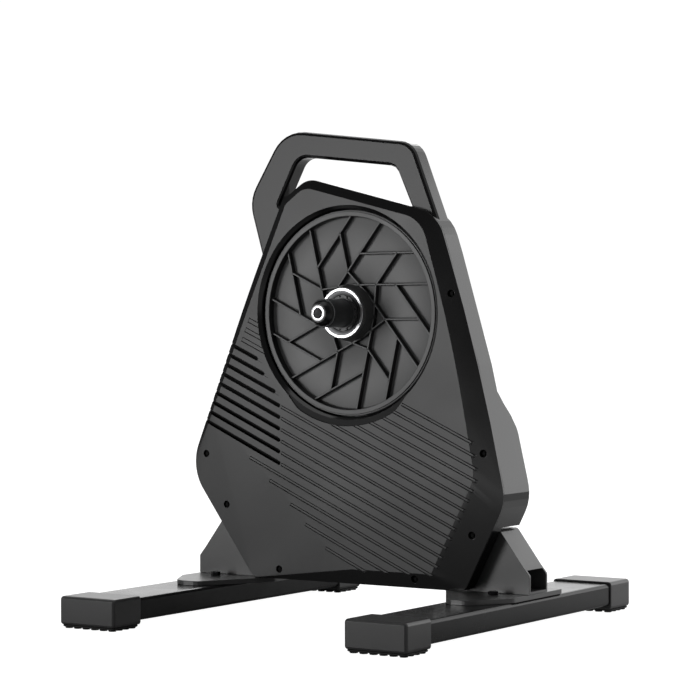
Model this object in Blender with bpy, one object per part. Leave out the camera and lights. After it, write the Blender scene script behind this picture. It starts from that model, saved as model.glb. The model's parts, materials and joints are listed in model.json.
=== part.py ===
"""Direct-drive smart bike trainer, built in metres with +Z up.

The origin is on the floor below the hub. +X points along the trainer's width,
+Y points from the cassette side to the other side of the bicycle.
"""
import math
import bpy
import bmesh
from mathutils import Matrix, Vector

# Clearances
GAP = 0.0003
RUNNING_GAP = 0.0008
WELD_DISTANCE = 0.000005

# How far a cutting shape reaches past what it cuts, and half the width of one that spans the trainer
OVERCUT = 0.0100
CUT_REACH = 0.3000

# Degrees between the points of an arc, finer where its radius is large
LARGE_RADIUS = 0.0200
FINE_ARC_STEP = 12.0
COARSE_ARC_STEP = 30.0
FLAT_ANGLE = 0.2

# Sides of round pieces, by size and by how much they show
RIM_SIDES = 56
WHEEL_SIDES = 36
RING_SIDES = 24
HIDDEN_SIDES = 16
SCREW_SIDES = 8

# Hub axle and freehub, on the standard 142 mm dropout width
HUB_Z = 0.3725
DRIVE_END_Y = -0.0756
DROPOUT_WIDTH = 0.142
AXLE_RADIUS = 0.0085
AXLE_BORE_RADIUS = 0.0060
END_CAP_RADIUS = 0.00985
END_CAP_NOSE = 0.0100
END_CAP_CHAMFER = 0.0005
END_CAP_SPIGOT = 0.0080
SPIGOT_WALL = 0.0010
CONE_STEP = 0.0008
CONE_TIP_WALL = 0.0012
SPACER_WALL = 0.0030
SPACER_FLARE = 0.0090
AXLE_FLANGE_WIDTH = 0.0140
AXLE_FLANGE_THICKNESS = 0.0040
AXLE_SLEEVE_WALL = 0.0060
FREEHUB_RADIUS = 0.0174
FREEHUB_BORE_RADIUS = 0.0140
FREEHUB_LENGTH = 0.0423
FREEHUB_LIP = 0.0012
COLLAR_RADIUS = 0.0215
COLLAR_NOTCHES = 12
COLLAR_NOTCH_WIDTH = 0.0072
COLLAR_NOTCH_DEPTH = 0.0016
LOCK_RING_RADIUS = 0.0305
LOCK_RING_INNER_RADIUS = 0.0270
LOCK_RING_FRONT_Y = -0.0242
LOCK_RING_DEPTH = 0.0040
LOCK_RING_CHAMFER = 0.0005
SEAL_INSET = 0.0014
SEAL_DISH = 0.0012
BEARING_RADIUS = 0.0175
BEARING_WIDTH = 0.0080
BEARING_INSET = 0.0010
FREEHUB_BEARING_INSET = 0.0055

# Drive pulley
RIM_FRONT_Y = -0.00925
BELT_SEAT_RADIUS = 0.1215
RIM_WALL = 0.0040
RIM_LIP_HEIGHT = 0.0019
FLANGE_HEIGHT = 0.0035
RIM_DEPTH = 0.0190
FLANGE_THICKNESS = 0.0013
LIP_STEP = 0.0016
WEB_FRONT_Y = 0.0014
WEB_THICKNESS = 0.0030
SPOKE_SETS = 7
SPOKE_START_ANGLE = -25.3
SPOKE_WIDTH = 0.0025
SPOKE_HEIGHT = 0.0070
SPOKE_OFFSET = 0.0340
SIDE_RIB_OFFSET = 0.0720
CROSS_RIB_OFFSET = 0.0080
RIB_BITE = 0.0010
HUB_CONE_RADIUS = 0.0345
HUB_WALL = 0.0077

# Belt drive to the flywheel shaft
BELT_THICKNESS = 0.0032
BELT_WIDTH = 0.0140
SHAFT_Z = 0.1475
SMALL_PULLEY_RADIUS = 0.0215
SMALL_FLANGE_HEIGHT = 0.0030
SHAFT_RADIUS = 0.0080
SHAFT_NUT_WALL = 0.0050
FLYWHEEL_RADIUS = 0.0840
FLYWHEEL_CHAMFER = 0.0010
FLYWHEEL_RIM_THICKNESS = 0.0180
FLYWHEEL_WIDTH = 0.0210
FLYWHEEL_WEB = 0.0060
FLYWHEEL_FRONT_Y = 0.0245
SHAFT_HOUSING_RADIUS = 0.0190
SHAFT_FLANGE_WIDTH = 0.0070
SHAFT_FLANGE_THICKNESS = 0.0030
IDLER_RADIUS = 0.0140
IDLER_DISTANCE = 0.0600
IDLER_PIN_RADIUS = 0.0050
IDLER_PIN_HEAD = 0.0030
IDLER_CHAMFER = 0.0006

# Brake
BRAKE_POLES = 4
BRAKE_POLE_WIDTH = 0.0120
BRAKE_RING_RADIUS = 0.0300
BRAKE_AIR_GAP = 0.0040
BRAKE_THICKNESS = 0.0090
BRAKE_SHOE_THICKNESS = 0.0060
COIL_WALL = 0.0060
COIL_END_WALL = 0.0048
COIL_GAP_INSIDE = 0.0020
COIL_GAP_OUTSIDE = 0.0010

# Main plate
PLATE_THICKNESS = 0.0050
EAR_X = 0.1900
EAR_BOTTOM_Z = 0.0560
EAR_TOP_Z = 0.1100
EAR_BOLT_X = 0.1720
EAR_BOLT_Z = 0.0830

# Circuit board and power inlet
BOARD_CENTRE = (-0.0820, 0.0900)
BOARD_SIZE = (0.0700, 0.0500)
BOARD_THICKNESS = 0.0016
BOARD_STANDOFF = 0.0030
STANDOFF_RADIUS = 0.0025
STANDOFF_INSET = 0.0050
BOARD_BITE = 0.0005
INLET_RADIUS = 0.0060
INLET_FLANGE_WIDTH = 0.0020
INLET_WALL = 0.0025
INLET_SOCKET_DEPTH = 0.0090
INLET_PIN_RADIUS = 0.0010
INLET_RISE = 0.0010
INLET_X = -0.1100
INLET_Z = 0.0800
INLET_LENGTH = 0.0140

# Electronic components on the board: place across and up, width, height and rise
BOARD_CHIPS = (
    (-0.0140, 0.0050, 0.0140, 0.0140, 0.0016),
    (0.0105, 0.0090, 0.0100, 0.0100, 0.0014),
    (0.0126, -0.0110, 0.0120, 0.0080, 0.0060),
    (-0.0154, -0.0130, 0.0160, 0.0060, 0.0040),
)

# Front cover
FACE_Y = -0.0156
BAND_DEPTH = 0.0040
COVER_RETURN = 0.0020
COVER_WALL = 0.0025
DISC_OPENING_RADIUS = 0.1305
DISC_OPENING_THROAT = 0.1265
DISC_OPENING_CHAMFER = 0.0040
CRESCENT_RADIUS = 0.1374
CRESCENT_TOP_Z = 0.2775
CRESCENT_DEPTH = 0.0020
GROOVE_ANGLE = 24.11
GROOVE_PITCH_Z = 0.0142
GROOVE_FIRST_Z = 0.2992
GROOVE_COUNT = 17
GROOVE_WIDTH = 0.00335
GROOVE_DEPTH = 0.0010
GROOVE_OVERRUN = 0.0055
SLOT_WIDTH = 0.0053
SLOT_FIRST = 3
SLOT_LAST = 11
SLOT_END_X = -0.0970
SLOT_FLOOR = 0.0008
STRIP_COUNT = 3
STRIP_WIDTH = 0.0054
STRIP_INSET = 0.0140
SCREW_HEAD_RADIUS = 0.0023
SCREW_HEAD_HEIGHT = 0.0012
SCREW_FLOOR = 0.0010
SCREW_SHANK_RADIUS = 0.0016
SCREW_LENGTH = 0.0140
SCREW_BOSS_RADIUS = 0.0050

# Rear housing
SHELL_FRONT_Y = -0.0091
SHELL_REAR_Y = 0.0224
SHELL_WALL = 0.0030
SHELL_EDGE_BEVEL = 0.0010
BULGE_ROOT_Y = 0.0050
BULGE_REAR_Y = 0.0515
HANDLE_FRONT_Y = -0.0056
HANDLE_REAR_Y = 0.0219
HANDLE_BEVEL = 0.0043
NOTCH_INNER_X = 0.1500
NOTCH_TOP_Z = 0.1195
NOTCH_FRONT_Y = 0.0090
HUB_BOSS_RADIUS = 0.0320
HUB_BOSS_END_RADIUS = 0.0272
HUB_BOSS_LENGTH = 0.0160

# Legs
LEG_X = 0.2017
LEG_WIDTH = 0.0774
LEG_BOTTOM_Z = 0.0085
LEG_TOP_Z = 0.0358
LEG_WALL = 0.0020
LEG_CORNER_RADIUS = 0.0040
TRAINER_LENGTH = 0.5288
CAP_WIDTH = 0.0814
CAP_BOTTOM_Z = 0.0040
CAP_TOP_Z = 0.0382
CAP_LENGTH = 0.0516
CAP_WALL = 0.0020
CAP_EDGE_RADIUS = 0.0030
CAP_CORNER_RADIUS = 0.0040
PAD_RIBS = 5
PAD_MARGIN = 0.0080
PAD_SOLE_Z = 0.0020

# Base plates and brackets
BASE_THICKNESS = 0.0055
BRACKET_SHEET = 0.0030
BRACKET_FRONT_Y = 0.0105
BRACKET_REAR_Y = 0.0535
BRACKET_INNER_X = 0.1545
BRACKET_OUTER_X = 0.2404
BRACKET_ROOF_Z = 0.1165
BRACKET_SHOULDER_Z = 0.0740
BRACKET_LIP = 0.0040
BOLT_HEAD_RADIUS = 0.0060
BOLT_HEAD_HEIGHT = 0.0042
BOLT_SHANK_RADIUS = 0.0040
BOLT_POINT = 0.0060
BASE_BOLT_DEPTHS = (-0.0084, 0.0730)

# Heights and depths that follow from the sizes above
RIM_INNER_RADIUS = BELT_SEAT_RADIUS - RIM_WALL
RIM_LIP_RADIUS = BELT_SEAT_RADIUS + RIM_LIP_HEIGHT
FLANGE_RADIUS = BELT_SEAT_RADIUS + FLANGE_HEIGHT
FLYWHEEL_INNER_RADIUS = FLYWHEEL_RADIUS - FLYWHEEL_RIM_THICKNESS
BRAKE_TIP_RADIUS = FLYWHEEL_INNER_RADIUS - BRAKE_AIR_GAP
BASE_BOTTOM_Z = LEG_TOP_Z + GAP
BASE_TOP_Z = BASE_BOTTOM_Z + BASE_THICKNESS
BRACKET_BOTTOM_Z = BASE_TOP_Z + GAP
PLATE_FRONT_Y = BRACKET_FRONT_Y + BRACKET_SHEET + GAP
PLATE_REAR_Y = PLATE_FRONT_Y + PLATE_THICKNESS
COVER_BACK_Y = FACE_Y + BAND_DEPTH + COVER_RETURN
SEAT_FRONT_Y = RIM_FRONT_Y + LIP_STEP + FLANGE_THICKNESS
RIM_BACK_Y = RIM_FRONT_Y + RIM_DEPTH
SEAT_BACK_Y = RIM_BACK_Y - FLANGE_THICKNESS
BELT_FRONT_Y = (SEAT_FRONT_Y + SEAT_BACK_Y - BELT_WIDTH) / 2.0
BELT_BACK_Y = BELT_FRONT_Y + BELT_WIDTH
WEB_BACK_Y = WEB_FRONT_Y + WEB_THICKNESS
RIB_TOP_Y = WEB_FRONT_Y - SPOKE_HEIGHT
HUB_FRONT_Y = LOCK_RING_FRONT_Y + LOCK_RING_DEPTH + GAP
FREEHUB_FRONT_Y = DRIVE_END_Y + END_CAP_NOSE
FREEHUB_BACK_Y = FREEHUB_FRONT_Y + FREEHUB_LENGTH
FAR_END_Y = DRIVE_END_Y + DROPOUT_WIDTH
HUB_BOSS_REAR_Y = SHELL_REAR_Y + HUB_BOSS_LENGTH
FLYWHEEL_REAR_Y = FLYWHEEL_FRONT_Y + FLYWHEEL_WIDTH
FLYWHEEL_WEB_Y = FLYWHEEL_REAR_Y - FLYWHEEL_WEB
SHAFT_REAR_Y = BULGE_REAR_Y - SHELL_WALL - RUNNING_GAP
SCREW_SEAT_Y = COVER_BACK_Y - SCREW_FLOOR

# Outlines in the XZ plane, counterclockwise, as corner x, corner z and corner radius
HOUSING_EDGE = (
    (-0.1408, 0.0435, 0.012),
    (0.1654, 0.0435, 0.014),
    (0.2203, 0.1513, 0.050),
    (0.1875, 0.3122, 2.300),
    (0.1280, 0.4906, 0.048),
    (-0.0575, 0.5375, 0.030),
    (-0.0960, 0.5110, 0.012),
    (-0.1480, 0.3966, 2.500),
    (-0.2379, 0.1772, 0.058),
)
FACE_EDGE = (
    (0.0080, 0.0615, 0.003),
    (0.1206, 0.0615, 0.004),
    (0.1810, 0.1787, 0.040),
    (0.1508, 0.3388, 1.500),
    (0.1077, 0.4841, 0.040),
    (-0.0602, 0.5265, 0.025),
    (-0.0880, 0.5065, 0.010),
    (-0.1467, 0.3757, 2.500),
    (-0.2020, 0.2455, 0.004),
)
HANDLE_EDGE = (
    (-0.1188, 0.4000, 0.0),
    (0.1200, 0.4000, 0.0),
    (0.1371, 0.4540, 0.0),
    (0.0889, 0.5770, 0.028),
    (-0.0985, 0.5989, 0.046),
    (-0.1520, 0.5132, 0.044),
)
HANDLE_HOLE = (
    (-0.0900, 0.4950, 0.0),
    (0.0893, 0.4950, 0.0),
    (0.0647, 0.5492, 0.013),
    (-0.0756, 0.5649, 0.020),
    (-0.1065, 0.5060, 0.004),
)
PLATE_EDGE = (
    (-0.1300, 0.0500, 0.006),
    (0.1300, 0.0500, 0.006),
    (0.1300, 0.1500, 0.020),
    (0.0480, 0.4100, 0.040),
    (-0.0480, 0.4100, 0.040),
    (-0.1300, 0.1500, 0.020),
)
BRACKET_EDGE = (
    (BRACKET_INNER_X, BRACKET_BOTTOM_Z, 0.0),
    (BRACKET_OUTER_X, BRACKET_BOTTOM_Z, 0.0),
    (BRACKET_OUTER_X, 0.0640, 0.004),
    (0.2320, BRACKET_SHOULDER_Z, 0.004),
    (0.2000, BRACKET_ROOF_Z, 0.006),
    (BRACKET_INNER_X, BRACKET_ROOF_Z, 0.0),
)
# Base plate outline in the XY plane, counterclockwise
BASE_EDGE = (
    (0.1250, 0.0120, 0.010),
    (0.1790, -0.0775, 0.012),
    (0.2120, -0.0775, 0.020),
    (BRACKET_OUTER_X, -0.0260, 0.012),
    (BRACKET_OUTER_X, 0.0910, 0.003),
    (0.1700, 0.0910, 0.010),
    (0.1250, 0.0560, 0.010),
)
# Screws that hold the front cover, as x and z
COVER_SCREWS = (
    (0.1920, 0.2075),
    (0.1760, 0.1105),
    (0.0970, 0.0545),
    (-0.1010, 0.0555),
    (-0.1810, 0.1325),
    (-0.2120, 0.1955),
    (0.1480, 0.3955),
)
# Height and depth of the bulge's rounded shoulder
SHOULDER = (
    (0.2785, 0.0224),
    (0.2645, 0.0310),
    (0.2505, 0.0420),
    (0.2365, 0.0490),
    (0.2270, 0.0515),
)

COLOURS = {
    "cover_plastic": ((0.030, 0.031, 0.032), 0.42, 0.0),
    "shell_plastic": ((0.026, 0.027, 0.028), 0.45, 0.0),
    "painted_steel": ((0.035, 0.036, 0.037), 0.40, 0.0),
    "cap_rubber": ((0.030, 0.030, 0.031), 0.60, 0.0),
    "pad_rubber": ((0.015, 0.015, 0.015), 0.85, 0.0),
    "black_aluminium": ((0.035, 0.036, 0.037), 0.45, 0.3),
    "polished_steel": ((0.75, 0.75, 0.76), 0.15, 1.0),
    "machined_steel": ((0.45, 0.45, 0.46), 0.35, 1.0),
    "dark_steel": ((0.08, 0.08, 0.085), 0.40, 0.8),
    "cast_iron": ((0.16, 0.16, 0.165), 0.50, 0.8),
    "belt_rubber": ((0.020, 0.020, 0.020), 0.75, 0.0),
    "copper_wire": ((0.55, 0.24, 0.10), 0.35, 1.0),
    "board_green": ((0.02, 0.12, 0.05), 0.50, 0.0),
}


def clear_scene():
    for old in list(bpy.data.objects):
        bpy.data.objects.remove(old, do_unlink=True)


def collection(name):
    group = bpy.data.collections.new(name)
    bpy.context.scene.collection.children.link(group)
    return group


def material(name):
    """Return the named finish, made once from its colour, roughness and metallic value."""
    if name in bpy.data.materials:
        return bpy.data.materials[name]
    colour, roughness, metallic = COLOURS[name]
    finish = bpy.data.materials.new(name)
    finish.use_nodes = True
    shader = finish.node_tree.nodes["Principled BSDF"]
    shader.inputs["Base Color"].default_value = (*colour, 1.0)
    shader.inputs["Roughness"].default_value = roughness
    shader.inputs["Metallic"].default_value = metallic
    return finish


def to_object(name, bm, group=None):
    """Turn a bmesh into an object with outward faces."""
    bmesh.ops.recalc_face_normals(bm, faces=bm.faces)
    mesh = bpy.data.meshes.new(name)
    bm.to_mesh(mesh)
    bm.free()
    thing = bpy.data.objects.new(name, mesh)
    (group or CUTTERS).objects.link(thing)
    return thing


def boolean(target, tool, operation, solver="EXACT"):
    """Apply one Boolean and remove the tool object."""
    modifier = target.modifiers.new(operation.lower(), "BOOLEAN")
    modifier.operation = operation
    modifier.solver = solver
    modifier.object = tool
    apply_modifiers(target)
    bpy.data.objects.remove(tool, do_unlink=True)
    return target


def apply_modifiers(target):
    depsgraph = bpy.context.evaluated_depsgraph_get()
    evaluated = target.evaluated_get(depsgraph)
    mesh = bpy.data.meshes.new_from_object(evaluated)
    target.modifiers.clear()
    bm = bmesh.new()
    bm.from_mesh(mesh)
    bmesh.ops.remove_doubles(bm, verts=bm.verts, dist=WELD_DISTANCE)
    bmesh.ops.dissolve_degenerate(bm, edges=bm.edges, dist=WELD_DISTANCE)
    bm.to_mesh(mesh)
    bm.free()
    old = target.data
    target.data = mesh
    bpy.data.meshes.remove(old)


def cut(target, *tools):
    for tool in tools:
        boolean(target, tool, "DIFFERENCE")
    return target


def join(target, *tools):
    for tool in tools:
        boolean(target, tool, "UNION")
    return target


def merge_bodies(name, things):
    """Put separate bodies in one object without joining their surfaces."""
    bm = bmesh.new()
    for thing in things:
        thing.data.transform(thing.matrix_basis)
        bm.from_mesh(thing.data)
        bpy.data.objects.remove(thing, do_unlink=True)
    return to_object(name, bm)


def finish(thing, name, finish_name, pivot=None):
    """Name a finished piece, give it its material and put its origin on its axis."""
    thing.data.transform(thing.matrix_basis)
    thing.matrix_basis = Matrix.Identity(4)
    bm = bmesh.new()
    bm.from_mesh(thing.data)
    bmesh.ops.dissolve_limit(bm, angle_limit=math.radians(FLAT_ANGLE), verts=bm.verts, edges=bm.edges)
    bm.to_mesh(thing.data)
    bm.free()
    if pivot is not None:
        thing.data.transform(Matrix.Translation(-Vector(pivot)))
        thing.location = pivot
    thing.name = name
    thing.data.name = name
    thing.data.materials.clear()
    thing.data.materials.append(material(finish_name))
    thing.data.shade_smooth()
    thing.data.set_sharp_from_angle(angle=math.radians(30.0))
    for old in list(thing.users_collection):
        old.objects.unlink(thing)
    PARTS.objects.link(thing)
    return thing


def offset_corners(corners, distance):
    """Move every side of a polygon outward by distance and fit the corner radii."""
    count = len(corners)
    moved = []
    for index, (x, z, radius) in enumerate(corners):
        here = Vector((x, z))
        before = Vector(corners[index - 1][:2])
        after = Vector(corners[(index + 1) % count][:2])
        side_in = (here - before).normalized()
        side_out = (after - here).normalized()
        normal_in = Vector((side_in.y, -side_in.x))
        normal_out = Vector((side_out.y, -side_out.x))
        turn = side_in.x * side_out.y - side_in.y * side_out.x
        shift = (normal_in + normal_out) * (distance / (1.0 + normal_in.dot(normal_out)))
        grown = radius + distance if turn > 0.0 else radius - distance
        moved.append((x + shift.x, z + shift.y, max(grown, 0.0003) if radius > 0.0 else 0.0))
    return moved


def rounded(corners, distance=0.0):
    """Return an outline's points, with an arc at every corner that has a radius."""
    sized = offset_corners(corners, distance) if distance else corners
    count = len(sized)
    points = []
    for index, (x, z, radius) in enumerate(sized):
        if radius <= 0.0:
            points.append((x, z))
            continue
        here = Vector((x, z))
        before = Vector(sized[index - 1][:2])
        after = Vector(sized[(index + 1) % count][:2])
        side_in = (here - before).normalized()
        side_out = (after - here).normalized()
        step = FINE_ARC_STEP if corners[index][2] >= LARGE_RADIUS else COARSE_ARC_STEP
        turn = math.atan2(side_in.x * side_out.y - side_in.y * side_out.x, side_in.dot(side_out))
        reach = radius * math.tan(abs(turn) / 2.0)
        start = here - side_in * reach
        inward = Vector((-side_in.y, side_in.x)) * math.copysign(1.0, turn)
        centre = start + inward * radius
        pieces = max(2, math.ceil(math.degrees(abs(turn)) / step))
        for piece in range(pieces + 1):
            angle = turn * piece / pieces
            spoke = start - centre
            swing = Vector((
                spoke.x * math.cos(angle) - spoke.y * math.sin(angle),
                spoke.x * math.sin(angle) + spoke.y * math.cos(angle),
            ))
            points.append((centre.x + swing.x, centre.y + swing.y))
    return points


def loft(name, rings):
    """Skin rings of equal point counts, each given as 3-D points, and cap both ends."""
    bm = bmesh.new()
    rows = [[bm.verts.new(point) for point in ring] for ring in rings]
    count = len(rows[0])
    for lower, upper in zip(rows, rows[1:]):
        for index in range(count):
            after = (index + 1) % count
            bm.faces.new((lower[index], lower[after], upper[after], upper[index]))
    bm.faces.new(rows[0])
    bm.faces.new(rows[-1])
    return to_object(name, bm)


def at_depth(outline, y):
    return [(x, y, z) for x, z in outline]


def at_height(outline, z):
    return [(x, y, z) for x, y in outline]


def slab(name, corners, y_front, y_back, distance=0.0):
    """A flat outline in XZ with a thickness along Y."""
    outline = rounded(corners, distance)
    return loft(name, (at_depth(outline, y_front), at_depth(outline, y_back)))


def sheet(name, corners, z_bottom, z_top):
    """A flat outline in XY with a thickness along Z."""
    outline = rounded(corners)
    return loft(name, (at_height(outline, z_bottom), at_height(outline, z_top)))


def hull(name, *rings):
    """The convex solid through all the rings' points."""
    bm = bmesh.new()
    for ring in rings:
        for point in ring:
            bm.verts.new(point)
    bmesh.ops.convex_hull(bm, input=bm.verts)
    loose = [vert for vert in bm.verts if not vert.link_faces]
    bmesh.ops.delete(bm, geom=loose, context="VERTS")
    return to_object(name, bm)


def box(name, low, high):
    bm = bmesh.new()
    size = [top - bottom for bottom, top in zip(low, high)]
    middle = [(top + bottom) / 2.0 for bottom, top in zip(low, high)]
    place = Matrix.Translation(middle) @ Matrix.Diagonal((*size, 1.0))
    bmesh.ops.create_cube(bm, size=1.0, matrix=place)
    return to_object(name, bm)


def turned(name, profile, centre=(0.0, 0.0), steps=RING_SIDES):
    """Spin a closed profile of radius and y round a Y axis through centre x and z."""
    bm = bmesh.new()
    verts = [bm.verts.new((radius, y, 0.0)) for radius, y in profile]
    edges = [bm.edges.new((verts[index - 1], verts[index])) for index in range(len(verts))]
    bmesh.ops.spin(bm, geom=verts + edges, cent=(0.0, 0.0, 0.0), axis=(0.0, 1.0, 0.0),
                   dvec=(0.0, 0.0, 0.0), angle=math.tau, steps=steps, use_duplicate=False)
    bmesh.ops.remove_doubles(bm, verts=bm.verts, dist=0.000001)
    flat = [edge for edge in bm.edges if not edge.link_faces]
    bmesh.ops.delete(bm, geom=flat, context="EDGES")
    bmesh.ops.translate(bm, verts=bm.verts, vec=(centre[0], 0.0, centre[1]))
    return to_object(name, bm)


def ring_profile(inner, outer, y_front, y_back, chamfer=0.0):
    """A rectangular ring section with its outer corners broken."""
    if chamfer <= 0.0:
        return ((inner, y_front), (outer, y_front), (outer, y_back), (inner, y_back))
    return ((inner, y_front), (outer - chamfer, y_front), (outer, y_front + chamfer),
            (outer, y_back - chamfer), (outer - chamfer, y_back), (inner, y_back))


def cylinder(name, radius, low, high, axis="Y", sides=RING_SIDES, top_radius=None):
    """A round bar between two points that lie on one axis direction."""
    bm = bmesh.new()
    length = (Vector(high) - Vector(low)).length
    bmesh.ops.create_cone(bm, cap_ends=True, segments=sides, radius1=radius,
                          radius2=radius if top_radius is None else top_radius, depth=length)
    turn = {"Z": Matrix.Identity(4), "Y": Matrix.Rotation(-math.pi / 2.0, 4, "X"),
            "X": Matrix.Rotation(math.pi / 2.0, 4, "Y")}[axis]
    middle = (Vector(low) + Vector(high)) / 2.0
    bmesh.ops.transform(bm, matrix=Matrix.Translation(middle) @ turn, verts=bm.verts)
    return to_object(name, bm)


def mirrored(thing, name):
    """A copy reflected in the plane x = 0."""
    bm = bmesh.new()
    bm.from_mesh(thing.data)
    bmesh.ops.scale(bm, vec=(-1.0, 1.0, 1.0), verts=bm.verts)
    bmesh.ops.reverse_faces(bm, faces=bm.faces)
    return to_object(name, bm)


def groove_bar(name, x_start, x_end, z_cross, width, y_front, y_back, round_ends=True):
    """A straight bar along the slanted pattern, from x_start to x_end."""
    angle = math.radians(-GROOVE_ANGLE)
    along = Vector((math.cos(angle), math.sin(angle)))
    across = Vector((-along.y, along.x)) * (width / 2.0)
    slope = math.tan(angle)
    start = Vector((x_start, z_cross + slope * x_start))
    end = Vector((x_end, z_cross + slope * x_end))
    radius = width * 0.48 if round_ends else 0.0
    corners = [(*(start - across), radius), (*(end - across), radius),
               (*(end + across), radius), (*(start + across), radius)]
    outline = rounded(corners)
    return loft(name, (at_depth(outline, y_front), at_depth(outline, y_back)))


def edge_crossing(corners, z_cross, side, inset=0.0):
    """Where a slanted pattern line leaves an outline on the right (1) or left (-1)."""
    slope = math.tan(math.radians(-GROOVE_ANGLE))
    outline = rounded(corners, -inset)
    crossings = []
    for (x_a, z_a), (x_b, z_b) in zip(outline, outline[1:] + outline[:1]):
        over_a = z_a - (z_cross + slope * x_a)
        over_b = z_b - (z_cross + slope * x_b)
        if over_a * over_b < 0.0:
            crossings.append(x_a + (x_b - x_a) * over_a / (over_a - over_b))
    return max(crossings) if side > 0 else min(crossings)


def opening_crossing(z_cross, radius, side):
    """Where a slanted pattern line meets a circle round the hub, or None."""
    slope = math.tan(math.radians(-GROOVE_ANGLE))
    offset = z_cross - HUB_Z
    square = 1.0 + slope * slope
    root = (slope * offset) ** 2 - square * (offset * offset - radius * radius)
    if root <= 0.0:
        return None
    return (-slope * offset + side * math.sqrt(root)) / square


def groove_tools():
    """Cutters for the cover's slanted grooves, shallow strips and vent slots."""
    grooves, strips, slots = [], [], []
    for index in range(GROOVE_COUNT):
        z_cross = GROOVE_FIRST_Z - GROOVE_PITCH_Z * index
        x_right = edge_crossing(FACE_EDGE, z_cross, 1) + GROOVE_OVERRUN
        x_disc = opening_crossing(z_cross, CRESCENT_RADIUS, 1)
        x_left = edge_crossing(FACE_EDGE, z_cross, -1, inset=-GROOVE_OVERRUN / 2.0)
        if x_disc is not None:
            x_left = x_disc
        elif index <= SLOT_LAST:
            x_left = SLOT_END_X
        floor_y = FACE_Y + GROOVE_DEPTH
        grooves.append(groove_bar("groove", x_left, x_right, z_cross, GROOVE_WIDTH,
                                  FACE_Y - OVERCUT, floor_y, round_ends=False))
        if index < STRIP_COUNT:
            x_out = edge_crossing(HOUSING_EDGE, z_cross, -1, inset=STRIP_INSET)
            x_in = opening_crossing(z_cross, DISC_OPENING_RADIUS, -1) + GROOVE_OVERRUN
            strips.append(groove_bar("strip", x_out, x_in, z_cross, STRIP_WIDTH,
                                     FACE_Y - OVERCUT, floor_y))
        if SLOT_FIRST <= index <= SLOT_LAST:
            x_out = edge_crossing(HOUSING_EDGE, z_cross, -1) - 2.0 * OVERCUT
            x_disc = opening_crossing(z_cross, CRESCENT_RADIUS + GROOVE_OVERRUN, -1)
            x_in = SLOT_END_X if x_disc is None else min(SLOT_END_X, x_disc)
            slots.append(groove_bar("slot", x_out, x_in, z_cross, SLOT_WIDTH,
                                    FACE_Y - OVERCUT, COVER_BACK_Y - SLOT_FLOOR))
    return [merge_bodies("groove_tools", tools) for tools in (grooves, strips, slots)]


def slot_bed():
    """The thick part of the cover that the blind vent slots are sunk in."""
    slope = math.tan(math.radians(-GROOVE_ANGLE))
    margin = (SLOT_WIDTH / 2.0 + COVER_WALL) / math.cos(math.radians(GROOVE_ANGLE))
    low = GROOVE_FIRST_Z - GROOVE_PITCH_Z * SLOT_LAST - margin
    high = GROOVE_FIRST_Z - GROOVE_PITCH_Z * SLOT_FIRST + margin
    right = SLOT_END_X + COVER_WALL
    corners = ((-CUT_REACH, low - slope * CUT_REACH, 0.0), (right, low + slope * right, 0.0),
               (right, high + slope * right, 0.0), (-CUT_REACH, high - slope * CUT_REACH, 0.0))
    return slab("slot_bed", corners, FACE_Y - OVERCUT, COVER_BACK_Y + 2.0 * OVERCUT)


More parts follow.
